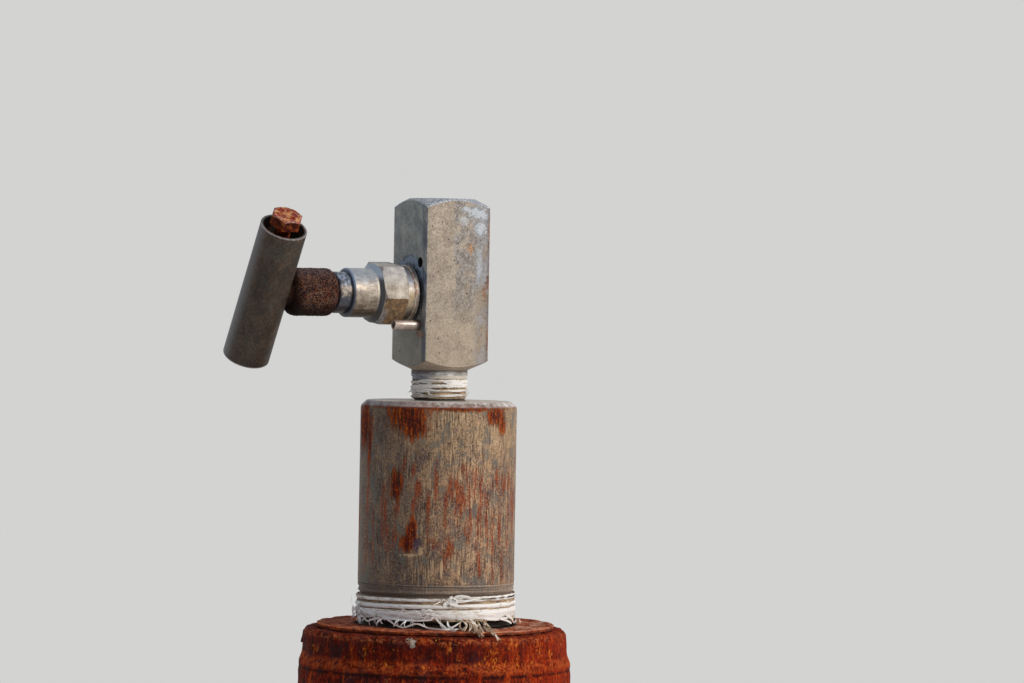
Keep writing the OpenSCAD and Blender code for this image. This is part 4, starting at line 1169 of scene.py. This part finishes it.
def rust_flake():
    """The flake of rust that peels off the coupling's left edge."""
    flake = bmesh.new()
    left = radians(VIEW_ANGLE - 90)
    bmesh.ops.create_grid(flake, x_segments=10, y_segments=10, size=0.5)
    for vert in flake.verts:
        u, v = vert.co.x, vert.co.y + 0.5
        turn = left + u * 0.11 + 0.02 * noise.noise(Vector((v * 4, 3, 0)))
        peel = 0.9 * (1 - v) ** 1.5 + 0.15 * noise.noise(Vector((u * 6, v * 6, 1)))
        height = COUPLING_TOP - 5.3 + v * (4.6 - abs(u) * 1.6) + 0.6 * noise.noise(Vector((u * 9, 0, 7)))
        reach = COUPLING_END_R + 0.15 + peel
        vert.co = Vector((reach * sin(turn), -reach * cos(turn), height))
    outside = set(flake.verts)
    bmesh.ops.solidify(flake, geom=flake.faces[:], thickness=0.35)
    for vert in flake.verts:
        if vert not in outside:
            rooted = (COUPLING_END_R - 1.0) / hypot(vert.co.x, vert.co.y)
            vert.co.x, vert.co.y = vert.co.x * rooted, vert.co.y * rooted
    bmesh.ops.recalc_face_normals(flake, faces=flake.faces)
    return flake


def casing_coupling():
    """The coupling with its turned-down ends."""
    flare_r, thread_r = COUPLING_R - 1.5, PIPE_R + 0.1
    band, cone = 8.6, 4.0
    top = COUPLING_TOP + 0.6
    outline = [
        (COUPLING_END_R, COUPLING_FOOT, 2.2), (flare_r, COUPLING_FOOT + band, 1.2),
        (COUPLING_R, COUPLING_FOOT + band + cone, 1.2), (COUPLING_R, COUPLING_TOP - band - cone, 1.2),
        (flare_r, COUPLING_TOP - band, 1.2), (COUPLING_END_R, top, 2.2), (thread_r, top, 0.6),
        (thread_r - 41 * TAPER, COUPLING_TOP - 41.8, 0), (thread_r - 48 * TAPER, COUPLING_FOOT + 48, 0),
        (thread_r, COUPLING_FOOT, 0.6)]
    shape = lathe(outline, 400, lambda middle: 0.85 if middle.x > PIPE_R + 1 else 3.0)
    rough = scaly(0.42, 5.0, 9.0, 1.8)

    def rule(co):
        if hypot(co.x, co.y) < PIPE_R + 1:
            return 0.0
        groove = max(0.0, 1 - abs(co.z - (COUPLING_TOP - band - cone - 1.6)) / 1.8) * 0.35
        brim = max(0.0, co.z - COUPLING_TOP + 0.4) * (0.25 + noise.noise(co / 4.5))
        return rough(co) * (0.45 if co.z > COUPLING_TOP else 1) - groove + min(0.28, brim)

    weather(shape, rule)
    front = seen_spots(
        COUPLING_R - 1.6, (494, 652, 2.2, 4.0), (490, 662, 3.0, 2.6), (497, 668, 3.0, 2.0),
        (480, 664, 1.6, 1.2), (517, 665, 1.8, 1.4), (363, 655, 0.9, 5.5), (371, 652, 0.7, 4.0),
        (339, 635.5, 3.0, 0.9), (330, 633, 2.0, 0.8), (384, 667, 2.0, 1.4), (424, 638, 2.4, 0.9),
        (436, 639, 1.6, 0.9), (457, 660, 0.8, 3.0), (540, 648, 2.0, 3.0), (515, 644, 1.5, 3.0),
        (530, 668, 1.2, 2.4), (552, 660, 1.6, 2.0), (312, 657, 3.0, 1.4), (424, 668, 2.0, 1.2),
        (448, 646, 1.0, 2.4))
    around = other_spots(
        COUPLING_R - 0.6, (60, 258, 3, 3), (85, 244, 2, 8), (110, 262, 4, 2), (140, 250, 2, 9),
        (165, 230, 3, 6), (200, 256, 3, 4), (225, 240, 2, 8), (250, 262, 4, 2), (20, 222, 2, 9),
        (-30, 236, 3, 6), (-5, 200, 3, 5), (95, 190, 3, 6), (180, 200, 2, 8), (265, 206, 3, 6),
        (-60, 210, 2, 7))
    marked(shape, "lively", front + around)
    return piece("casing_coupling_weathered", join(shape, rust_flake()), "stack", "rusted_coupling",
                 ["casing_coupling"], sharp=70)


def reducing_bushing():
    """The bushing, with the groove round its flange."""
    hole_r = PLUG_R - 15.2 * TAPER + 0.1
    flange_foot = BUSHING_TOP - 1.7
    outline = [
        (PIPE_R - 39.8 * TAPER, BUSHING_FOOT, 0.5), (PIPE_R - 0.6, flange_foot, 0.2),
        (FLANGE_R, flange_foot, 0.3), (FLANGE_R, BUSHING_TOP, 0.55), (FLANGE_R - 1.9, BUSHING_TOP, 0.5),
        (FLANGE_R - 3.0, BUSHING_TOP - 0.45, 0.4), (hole_r + 2.4, BUSHING_TOP - 0.3, 0.3),
        (hole_r + 1, BUSHING_TOP, 0.3), (hole_r, BUSHING_TOP - 1, 0.2),
        (hole_r - 41 * TAPER, BUSHING_FOOT, 0.5)]
    shape = lathe(outline, 320, lambda middle: 0.7 if middle.z > flange_foot - 2 else 2.5)
    rough = scaly(0.28, 4.2, 21.0)
    weather(shape, lambda co: rough(co) if co.z > flange_foot - 0.1 else 0.0)
    return piece("reducing_bushing_weathered", shape, "stack", "rusted_bushing",
                 ["reducing_bushing"], sharp=70)


def bull_plug():
    """The plug with its turned line, its thread, a blister, and the places of its stains and streaks."""
    slope_w, slope_h = 2.4, 2.1
    tap_r = NECK_R - 9.6 * TAPER + 0.1
    drill_r = 7.15
    outline = [
        (PLUG_R - 1.4, PLUG_WALL_FOOT - 0.8, 0), (PLUG_R, PLUG_WALL_FOOT + 0.4, 0.3),
        (PLUG_R, PLUG_WALL_FOOT + 0.8, 0.1), (PLUG_R - 0.15, PLUG_WALL_FOOT + 1.1, 0.1),
        (PLUG_R, PLUG_WALL_FOOT + 1.4, 0.1), (PLUG_R, PLUG_TOP - slope_h, 1.0),
        (PLUG_R - slope_w, PLUG_TOP, 0.25), (tap_r + 0.8, PLUG_TOP, 0.2), (tap_r, PLUG_TOP - 0.8, 0),
        (tap_r - 16 * TAPER, PLUG_TOP - 16, 0), (drill_r, PLUG_TOP - 19, 0), (drill_r, PLUG_FOOT, 0.4),
        (PLUG_R - 27 * TAPER - 1.2, PLUG_FOOT, 0.4)]
    shape = lathe(outline, 320, lambda middle: 0.8 if middle.x > 12 else 3.0)
    blister = front_point(*BLISTER_PIXEL, PLUG_R)

    def rule(co):
        if hypot(co.x, co.y) < 12 or co.z < PLUG_WALL_FOOT + 4:
            return 0.0
        wave = noise.noise(Vector((co.x, co.y, co.z / 3)) / 9) * 0.05
        away = co - blister
        near = hypot(away.x / 2.6, away.y / 2.6, away.z / 4.5)
        lump = max(0.0, 1 - near) * 0.35 * (0.6 + noise.noise(co / 0.9))
        return min(0.0, wave - 0.03) + lump

    weather(shape, rule)
    around = other_spots(
        PLUG_R, (95, 348, 9, 8), (150, 330, 5, 17), (190, 352, 12, 5), (235, 318, 6, 15), (262, 350, 6, 8),
        (120, 304, 7, 8), (172, 312, 4, 9), (212, 338, 4, 10), (238, 298, 3, 6), (72, 352, 4, 5))
    front = seen_spots(
        PLUG_R, (408, 417, 8.0, 7.0), (413, 427, 5.5, 4.8), (365, 421, 2.8, 8), (369, 446, 1.3, 7),
        (497, 415, 5.0, 4.0), (503, 424, 2.2, 4.0), (465, 408, 16, 1.3), (396, 487, 2.8, 6.0),
        (412, 526, 1.7, 3.6), (410, 534, 2.6, 4.6), (407, 544, 3.0, 3.6), (407, 407, 12, 2.0))
    marked(shape, "stained", around + front)
    front = seen_spots(
        PLUG_R, (466, 478, 2.4, 5.5), (475, 480, 1.3, 6.0), (457, 492, 3.0, 5.5), (450, 488, 0.9, 5.0),
        (462, 503, 2.6, 5.0), (368, 478, 0.9, 8.0), (403, 466, 1.0, 3.2), (413, 505, 0.9, 3.0),
        (372, 540, 0.8, 9.0), (364, 560, 1.0, 7.0), (470, 507, 1.2, 6.5), (481, 498, 1.8, 9.0),
        (485, 507, 0.9, 6.0), (503, 484, 3.0, 4.0), (509, 484, 0.9, 5.0), (497, 478, 0.8, 4.0),
        (445, 510, 1.1, 7.0), (456, 514, 0.8, 7.0), (447, 548, 3.0, 4.0), (430, 545, 2.6, 2.2),
        (479, 530, 1.6, 8.0), (468, 528, 1.4, 6.0), (493, 548, 0.8, 15.0), (487, 520, 0.8, 10.0),
        (500, 522, 0.9, 12.0), (508, 522, 1.0, 14.0), (512, 500, 1.0, 12.0), (479, 562, 0.7, 9.0),
        (444, 556, 1.0, 5.0), (418, 493, 1.2, 6.0), (383, 506, 1.2, 8.0), (396, 502, 1.5, 6.0),
        (366, 524, 0.8, 12.0), (502, 570, 0.8, 7.0), (387, 541, 1.4, 6.0), (394, 540, 1.2, 5.0),
        (436, 485, 1.0, 9.0), (428, 512, 0.9, 8.0), (413, 472, 1.3, 3.0))
    around = other_spots(
        PLUG_R, (45, 318, 2, 12), (60, 330, 1.4, 16), (80, 320, 1.6, 10), (110, 332, 1.2, 14),
        (135, 310, 2.2, 9), (160, 340, 1.2, 12), (200, 316, 1.8, 13), (222, 334, 1.1, 15),
        (250, 312, 2.0, 9), (270, 330, 1.2, 14), (290, 316, 1.6, 10))
    marked(shape, "drawn", front + around)
    threads = screw(PLUG_R - 0.05, PLUG_PITCH, 1.15, PLUG_FOOT + 0.3, PLUG_WALL_FOOT + 0.2, 96, fade=5.0)
    return piece("bull_plug_weathered", join(shape, threads), "stack", "plug_steel",
                 ["bull_plug"], sharp=50)


def plug_tape():
    """Worn tape in the plug's thread, and torn bands over it."""
    crest, low, ridge_at = PLUG_CREST_R, PLUG_TAPE_FOOT, BUSHING_TOP + 8.15
    inner = winding(crest, low, ridge_at + 2.9, -180, 360, 0.3, 2.0, PLUG_PITCH, ridge_at + 0.25,
                    ridge=0.55, torn=0.35)
    piece("plug_tape_worn", inner, "stack", "thread_tape", ["plug_tape"],
          material=tape_over_thread_finish(), sharp=60)
    bands = [
        winding(crest + out, foot, head, start, sweep, thick, seed, PLUG_PITCH, ridge_at, 0, torn, bulge)
        for out, foot, head, start, sweep, thick, seed, torn, bulge in (
            (0.1, ridge_at - 0.85, ridge_at + 0.7, -170, 340, 0.2, 23.0, 0.2, 0.4),
            (0.05, ridge_at + 2.15, ridge_at + 2.9, -100, 108, 0.18, 19.0, 0.15, 0.2),
            (0.05, ridge_at + 2.95, ridge_at + 3.65, 14, 108, 0.18, 31.0, 0.25, 0.2),
            (0.12, low + 0.7, ridge_at - 1.35, 2, 126, 0.22, 11.0, 0.6, 0.35),
            (0.1, low + 1.0, ridge_at - 1.8, -60, 80, 0.2, 29.0, 0.6, 0.3),
            (0.1, low + 1.6, ridge_at - 1.7, -150, 98, 0.2, 14.0, 0.6, 0.3),
            (0.1, low + 0.6, ridge_at - 1.5, 120, 95, 0.2, 17.0, 0.9, 0.3))]
    piece("plug_tape_bands", join(*bands), "stack", "thread_tape", sharp=60)


def plug_strands():
    """Strands and stained fibres that hang out of the plug's tape, those in front as in the photograph."""
    rng = random.Random(7)
    crest, low = PLUG_CREST_R, PLUG_TAPE_FOOT
    strands, fibres = bmesh.new(), bmesh.new()
    floor = BUSHING_TOP + 0.25
    near, far = crest + 0.7, crest + 1.4
    hanging = (
        (far, 0.5, (353, 617), (357, 622), (361, 620.5), (366, 624.5), (373, 622), (381, 620.5),
         (388, 622), (394, 626), (402, 628.5), (408, 627), (414, 624.5), (420, 625), (427, 628),
         (436, 629), (446, 629.5), (460, 629)),
        (near, 0.6, (355, 609), (360, 613.5), (370, 617), (384, 619.5), (400, 621), (418, 621), (432, 620)),
        (far, 0.5, (398, 617), (396.5, 622), (397, 627.5)),
        (near, 0.4, (380, 618), (379, 623), (382, 626)),
        (far, 0.5, (440, 619), (440, 625), (445, 629), (450, 628), (456, 625), (461, 621)),
        (far, 0.7, (435, 618), (440, 623.5), (447, 629), (456, 630.5)),
        (near, 0.8, (447, 621), (448, 626), (452, 629)), (far, 0.6, (462, 620), (466, 625), (464, 630)),
        (far, 0.8, (470, 619), (474, 624), (480, 628), (483, 632)),
        (far, 0.6, (476, 620), (473, 626), (476, 631)),
        (near, 0.8, (484, 619.5), (496, 620.5), (508, 620)),
        (far, 0.7, (500, 620), (507, 622.5), (512, 626)), (near, 0.8, (506, 617), (511, 620), (514, 624)),
        (crest + 1.9, 0.3, (350, 600), (349, 606), (350.5, 612), (353, 616)),
        (crest + 1.6, 0.7, (352, 612), (350, 617), (353, 622)),
        (far, 0.9, (356, 611), (352, 616), (349, 620), (352, 623)),
        (near, 0.7, (361, 612), (358, 617), (361, 621)), (near, 0.5, (366, 613), (364, 618), (368, 621)),
        (near, 0.5, (398, 606), (402, 610), (408, 613), (416, 614)),
        (near, 1.2, (443, 605), (447, 603), (452, 604), (459, 606)),
        (near, 1.0, (447, 599), (451, 601.5), (455, 606)), (near, 0.8, (452, 596), (450, 600), (451, 605)),
        (near, 0.9, (453, 598), (460, 596), (470, 597.5)),
        (near, 0.45, (452, 602), (462, 602), (474, 599.5), (486, 597)),
        (near, 0.5, (449, 597), (456, 599.5), (458, 603)),
        (near, 0.5, (420, 618), (424, 612), (430, 610), (434, 613)),
        (near, 0.6, (424, 619), (427, 614), (433, 616), (430, 620)),
        (near, 0.4, (418, 614), (423, 610), (429, 613), (425, 618)),
        (near, 0.4, (436, 611), (442, 613), (448, 611)))
    for radius, width, *pixels in hanging:
        traced(strands, pixels, radius, width, floor=floor, turn=rng.uniform(-0.4, 0.4))
    tufts = (((463, 619), (466, 625), (463, 631)), ((468, 619), (470, 626), (468, 632)),
             ((472, 619), (476, 626), (475, 633)), ((477, 619), (480, 627), (478, 634)),
             ((481, 620), (485, 627), (490, 632), (494, 636)),
             ((465, 620), (471, 626), (478, 631), (483, 637)), ((460, 621), (459, 627), (463, 631)),
             ((486, 620), (484, 626), (488, 631)), ((474, 621), (471, 628), (473, 633)),
             ((468, 621), (475, 628), (480, 636)), ((484, 622), (490, 629), (496, 635), (499, 641)),
             ((470, 622), (477, 629), (479, 637)))
    for pixels in tufts:
        for _ in range(4):
            shaken = [(x + rng.uniform(-1.5, 1.5), y + rng.uniform(-0.8, 0.8)) for x, y in pixels]
            radius, width = far + rng.uniform(-0.6, 0.6), rng.uniform(0.25, 0.5)
            traced(fibres, shaken, radius, width, 0.12, rng.uniform(-0.6, 0.6), floor)

    def hoop(start, sweep, height, wobble, width, thick, gap, seed):
        """A long strand that lies round the side or the back."""
        steps = max(8, int(abs(sweep) / 2.2))
        points = []
        for i in range(steps + 1):
            turn = start + sweep * i / steps
            lift = noise.noise(Vector((turn / 9, seed, 0))) * wobble
            out = gap + abs(noise.noise(Vector((turn / 12, seed, 4)))) * wobble * 0.9 * sin(pi * i / steps)
            points.append(round_point(crest + out, turn + VIEW_ANGLE, max(floor, height + lift)))
        ribbon(strands, points, width, thick, turn=noise.noise(Vector((seed, 0, 0))) * 0.6)

    for k, start in enumerate((85, 150, 200)):
        hoop(start, 70, low + 8.9 - k * 0.5, 0.4, 0.6, 0.22, 0.15, 20 + k)
        hoop(start - 10, 60, BUSHING_TOP + 1.2, 1.2, 0.7, 0.25, 0.6, 40 + k)
    for _ in range(44):
        turn = rng.choice((rng.uniform(-80, -5), rng.uniform(86, 276)))
        start = round_point(crest + 0.25, turn + VIEW_ANGLE, low + rng.uniform(0.2, 1.3))
        length, lean = rng.uniform(1.8, 4.6), rng.uniform(-0.9, 0.9)
        loose_end(strands, rng, start, length, lean, (0.2, 0.6), 0.9, floor)
    for centre, height in ((-12, low + 3.0), (8, low + 7.6), (170, low + 4)):
        for _ in range(8):
            turn, up = rng.uniform(-5, 5), rng.uniform(-1.0, 1.0)
            start = round_point(crest + 0.4, centre + VIEW_ANGLE + turn, height + up)
            length, lean = rng.uniform(1.6, 3.4), rng.choice((-1.6, 1.6))
            loose_end(strands, rng, start, length, lean, (0.2, 0.45), 0.3, floor, steps=7)
    piece("plug_tape_strands", strands, "stack", "thread_tape", sharp=80)
    piece("plug_tape_stained_fibres", fibres, "stack", "thread_tape",
          material=stained_tape_finish(), sharp=80)


def neck_tape():
    """Worn tape in the neck's thread, and torn bands over it."""
    crest, low, ridge_at = NECK_CREST_R, NECK_TAPE_FOOT, PLUG_TOP + 3.8
    inner = winding(crest, low, NECK_PLAIN_FOOT - 1.4, -180, 360, 0.18, 43.0, SMALL_PITCH, ridge_at,
                    ridge=0.75, torn=0.35, spacing=0.3)
    piece("neck_tape_worn", inner, "stack", "thread_tape", ["neck_tape"],
          material=tape_over_thread_finish(), sharp=60)
    bands = [
        winding(crest + 0.05, ridge_at + foot, ridge_at + head, start, sweep, 0.14, seed, SMALL_PITCH,
                ridge_at, 0, torn, bulge, 0.3)
        for foot, head, start, sweep, seed, torn, bulge in (
            (1.3, 2.6, -75, 165, 47.0, 0.3, 0.2), (2.5, 4.2, 8, 130, 59.0, 0.3, 0.15),
            (-0.3, 1.6, -95, 75, 53.0, 0.5, 0.15), (-1.4, 3.4, 130, 120, 61.0, 0.6, 0.15))]
    piece("neck_tape_bands", join(*bands), "stack", "thread_tape", sharp=60)


def neck_strands():
    """Strands that hang out of the neck's tape."""
    rng = random.Random(11)
    crest, low = NECK_CREST_R, NECK_TAPE_FOOT
    strands = bmesh.new()
    floor = PLUG_TOP + 0.2
    near = crest + 0.25
    hanging = (
        (0.45, (411.5, 391), (414, 388), (419, 385.5), (428, 384.8), (440, 386), (452, 385), (466, 383.5)),
        (0.35, (418, 382), (422, 380.3), (432, 380.2), (446, 380.6), (456, 379.5)),
        (0.4, (416, 384), (420, 381), (425, 382.5), (432, 383.6)),
        (0.4, (413, 397), (418, 394), (424, 395.5), (430, 397), (440, 396.5)),
        (0.75, (427, 388), (428.4, 391.5), (430.5, 395.5)), (0.7, (431, 394.5), (434, 396.5), (438, 395)),
        (0.5, (412, 394), (415, 389.5), (421, 388), (430, 389.5), (438, 391)),
        (0.5, (447, 384), (451, 381.5), (456, 380)),
        (0.5, (440, 391), (448, 390.5), (458, 391), (466, 389.5)),
        (0.35, (412, 385), (415, 383), (420, 384.5)), (0.6, (414, 387), (412, 391), (415, 395)))
    for width, *pixels in hanging:
        traced(strands, pixels, near, width, 0.1, rng.uniform(-0.3, 0.3), floor, 0.5)
    hoops = (100, 120, 5.2, 0.35), (150, 140, 3.0, 0.3), (60, 100, 1.4, 0.3), (190, 90, 4.2, 0.5)
    for start, sweep, height, width in hoops:
        steps = int(sweep / 3)
        points = []
        for i in range(steps + 1):
            reach = crest + 0.18 + 0.12 * noise.noise(Vector((i / 3, height, 0)))
            lift = 0.25 * noise.noise(Vector((i / 4, height, 9)))
            points.append(round_point(reach, VIEW_ANGLE + start + sweep * i / steps, low + height + lift))
        ribbon(strands, points, width, 0.12)
    for i in range(16):
        turn = rng.uniform(-95, -30) if i < 7 else rng.uniform(60, 280)
        start = round_point(crest + 0.15, turn + VIEW_ANGLE, low + rng.uniform(0.3, 6.0))
        length, lean = rng.uniform(1.0, 2.4), rng.uniform(-1.2, 1.2)
        loose_end(strands, rng, start, length, lean, (0.15, 0.3), 0.6, floor, 0.09, 7)
    piece("neck_tape_strands", strands, "stack", "thread_tape", sharp=80)


def valve_body():
    """The solids' square body with rounded edges, and a neck and threads of its own."""
    shape = cad_copy("valve_body", 0)
    cut_off(shape, BODY_FOOT - 0.3, -1, 1e-4)
    rub_edges(shape, 0.28, 20)

    def is_port(face):
        middle = face.calc_center_median()
        on_wall = abs(hypot(middle.x, middle.y) - PORT_R) < 0.12
        return middle.z > BODY_TOP - 15 and on_wall and abs(face.normal.z) < 0.2

    bmesh.ops.delete(shape, geom=[f for f in shape.faces if is_port(f)], context="FACES")
    inside = screw(PORT_R, SMALL_PITCH, 0.95, BODY_TOP - 16, BODY_TOP - 0.6, 96, inner=True)
    root_r = NECK_R - 0.9
    outline = [(NECK_BORE_R, NECK_FOOT, 0.3), (root_r - 19 * TAPER, NECK_FOOT, 0.3),
               (root_r, NECK_PLAIN_FOOT - 1.0, 0.2), (NECK_PLAIN_R, NECK_PLAIN_FOOT - 0.2, 0.2),
               (NECK_PLAIN_R, BODY_FOOT + 0.4, 0.0), (NECK_BORE_R, BODY_FOOT + 1.9, 0.0)]
    neck = lathe(outline, 160, 1.0)
    threads = screw(NECK_R, SMALL_PITCH, 0.85, NECK_FOOT + 0.3, NECK_PLAIN_FOOT, 96, fade=2.5)
    return piece("valve_body_weathered", join(shape, inside, neck, threads), "stack", "plated_body",
                 ["valve_body"], sharp=35)


def plain_copy(node, body, slot, edge, angle=22, sharp=40):
    """A piece that is the node's own shape with rubbed edges."""
    return piece(node + "_weathered", cad_copy(node, edge, angle), body, slot, [node], sharp=sharp)


def side_bonnet():
    """What stands out from the body's left face and doesn't turn."""
    plain_copy("bonnet", "stack", "plated_bonnet", 0.22, sharp=35)
    plain_copy("bonnet_washer", "stack", "plated_bonnet", 0.25)
    plain_copy("lock_pin", "stack", "bright_steel", 0.2, 30)
    plain_copy("packing_gland", "stack", "gland_steel", 0.3)


def handle_hub():
    """The hub with its nose, granular with rust."""
    hub_r, nose_r, bore_r = 9.25, 5.2, 3.65
    nose_end, bore_end = HUB_END + 15, HUB_FOOT + 12.05
    outline = [(bore_r, HUB_FOOT, 0.2), (hub_r - 1.4, HUB_FOOT, 0.6), (hub_r, HUB_FOOT + 1.4, 0.9),
               (hub_r, HUB_END, 2.8), (nose_r, HUB_END, 0.4), (nose_r, nose_end, 0.6), (0.01, nose_end, 0),
               (0.01, bore_end, 0), (bore_r, bore_end, 0)]
    shape = lathe(outline, 200, 0.35)

    def granular(co):
        if hypot(co.x, co.y) < 4:
            return 0.0
        return -0.16 + 0.15 * noise.noise(co / 0.85) + 0.11 * noise.noise(co / 3.1)

    weather(shape, granular)
    return piece("handle_hub_weathered", shape, "spindle", "rusted_hub", ["handle_hub"], STEM, sharp=80)


def handle_bolt():
    """The bolt's rusted head, and a thread with a chamfered end."""
    head_foot, thread_foot, chamfer_top, thread_top = 12, -21, -20.2, 14
    bolt = cad_copy("handle_bolt", 0.3)
    bolt.transform(TUBE.inverted())
    cut_off(bolt, head_foot, -1, 1e-4)
    bmesh.ops.triangulate(bolt, faces=bolt.faces[:])
    for _ in range(3):
        long_edges = [e for e in bolt.edges if e.calc_length() > 0.7]
        bmesh.ops.subdivide_edges(bolt, edges=long_edges, cuts=1)
        bmesh.ops.triangulate(bolt, faces=[f for f in bolt.faces if len(f.verts) > 3])
    weather(bolt, lambda co: -0.06 + 0.07 * noise.noise(co / 0.9) + 0.06 * noise.noise(co / 2.3))
    crest_r, pitch, depth = 3.1, 1.27, 0.7
    thread = screw(crest_r, pitch, depth, thread_foot, thread_top, 48)
    for vert in thread.verts:
        if vert.co.z < chamfer_top:
            vert.co.x *= 1 - (chamfer_top - vert.co.z) * 0.3
            vert.co.y *= 1 - (chamfer_top - vert.co.z) * 0.3
        straight = 1 + (thread_top - vert.co.z) * TAPER / hypot(vert.co.x, vert.co.y)
        vert.co.x, vert.co.y = vert.co.x * straight, vert.co.y * straight
    tip = lathe([(0.01, thread_foot, 0), (2.3, thread_foot, 0), (2.3, -18, 0), (0.01, -18, 0)], 48)
    return piece("handle_bolt_weathered", join(bolt, thread, tip), "spindle", "rusted_bolt",
                 ["handle_bolt"], TUBE, sharp=50)


casing_pipe()
casing_coupling()
reducing_bushing()
bull_plug()
plug_tape()
plug_strands()
neck_tape()
neck_strands()
valve_body()
side_bonnet()
handle_hub()
plain_copy("handle_tube", "spindle", "galvanised_tube", 0.22)
handle_bolt()
plain_copy("handle_nut", "spindle", "rusted_bolt", 0.25)

for entry in frame["record"]["subparts"]:
    node = frame["nodes"][entry["node"]]
    node.data.materials.clear()
    node.data.materials.append(SLOTS[entry["material_slot"]])


def camera():
    """Puts the camera where the photograph was taken from, with its yaw, pitch and roll."""
    turn = radians(VIEW_ANGLE)
    at = Vector((sin(turn) * VIEW_AWAY, -cos(turn) * VIEW_AWAY, VIEW_HEIGHT)) * MM
    ahead = Matrix.Rotation(radians(VIEW_YAW), 3, "Z") @ Vector((-sin(turn), cos(turn), 0))
    ahead = (ahead * cos(radians(VIEW_PITCH)) - UP * sin(radians(VIEW_PITCH))).normalized()
    right = ahead.cross(UP).normalized()
    up = right.cross(ahead)
    roll = radians(VIEW_ROLL)
    right, up = right * cos(roll) + up * sin(roll), up * cos(roll) - right * sin(roll)
    lens = bpy.data.cameras.new("camera")
    lens.sensor_width = 36
    lens.lens = VIEW_FOCAL_PIXELS / PHOTO_WIDTH * lens.sensor_width
    lens.clip_start, lens.clip_end = 0.05, 400
    made = bpy.data.objects.new("camera", lens)
    made.matrix_world = Matrix((
        (right.x, up.x, -ahead.x, at.x),
        (right.y, up.y, -ahead.y, at.y),
        (right.z, up.z, -ahead.z, at.z),
        (0, 0, 0, 1)))
    bpy.context.scene.collection.objects.link(made)
    bpy.context.scene.camera = made


# What the lights point at, in metres
LIGHT_AIM = Vector((0, 0, 0.32))


def softbox(name, turn, rise, away, width, power, colour):
    """A square soft light aimed at the valve; the turn is in degrees from the front, to the right."""
    light = bpy.data.lights.new(name, "AREA")
    light.shape, light.size, light.energy, light.color = "SQUARE", width, power, colour
    made = bpy.data.objects.new(name, light)
    turn, rise = radians(turn), radians(rise)
    way = Vector((sin(turn) * cos(rise), -cos(turn) * cos(rise), sin(rise)))
    place = Matrix.Translation(way * away + LIGHT_AIM)
    made.matrix_world = place @ way.to_track_quat("Z", "Y").to_matrix().to_4x4()
    bpy.context.scene.collection.objects.link(made)


def ground():
    """A wide pale floor under the stack."""
    shape = bmesh.new()
    bmesh.ops.create_circle(shape, cap_ends=True, segments=96, radius=90)
    mesh = bpy.data.meshes.new("floor")
    shape.to_mesh(mesh)
    shape.free()
    mesh.materials.append(floor_finish())
    floor = bpy.data.objects.new("floor", mesh)
    bpy.context.scene.collection.objects.link(floor)


def surroundings():
    """A weak cool light from all round; what the camera and the mirrors see is the backdrop."""
    world = bpy.data.worlds.new("studio")
    bpy.context.scene.world = world
    world.use_nodes = True
    world.node_tree.nodes.clear()
    sky = Wiring(world.node_tree)
    seen = sky.seen("Camera", "Glossy", "Transmission")
    ambient, backdrop = [
        sky.node("ShaderNodeBackground", {}, {"Color": colour, "Strength": strength})
        for colour, strength in (((0.92, 0.96, 1.0, 1), 0.24), (tint(BACKDROP), 1.0))]
    chosen = sky.node("ShaderNodeMixShader", {}, {0: seen, 1: ambient, 2: backdrop})
    sky.link(chosen, sky.tree.nodes.new("ShaderNodeOutputWorld").inputs["Surface"])
    bpy.context.scene.view_settings.view_transform = "Standard"


camera()
ground()
softbox("key", 34, 26, 2.6, 0.9, 46, (1.0, 0.965, 0.92))
softbox("fill", -100, 34, 2.6, 1.4, 5.5, (0.86, 0.93, 1.0))
surroundings()
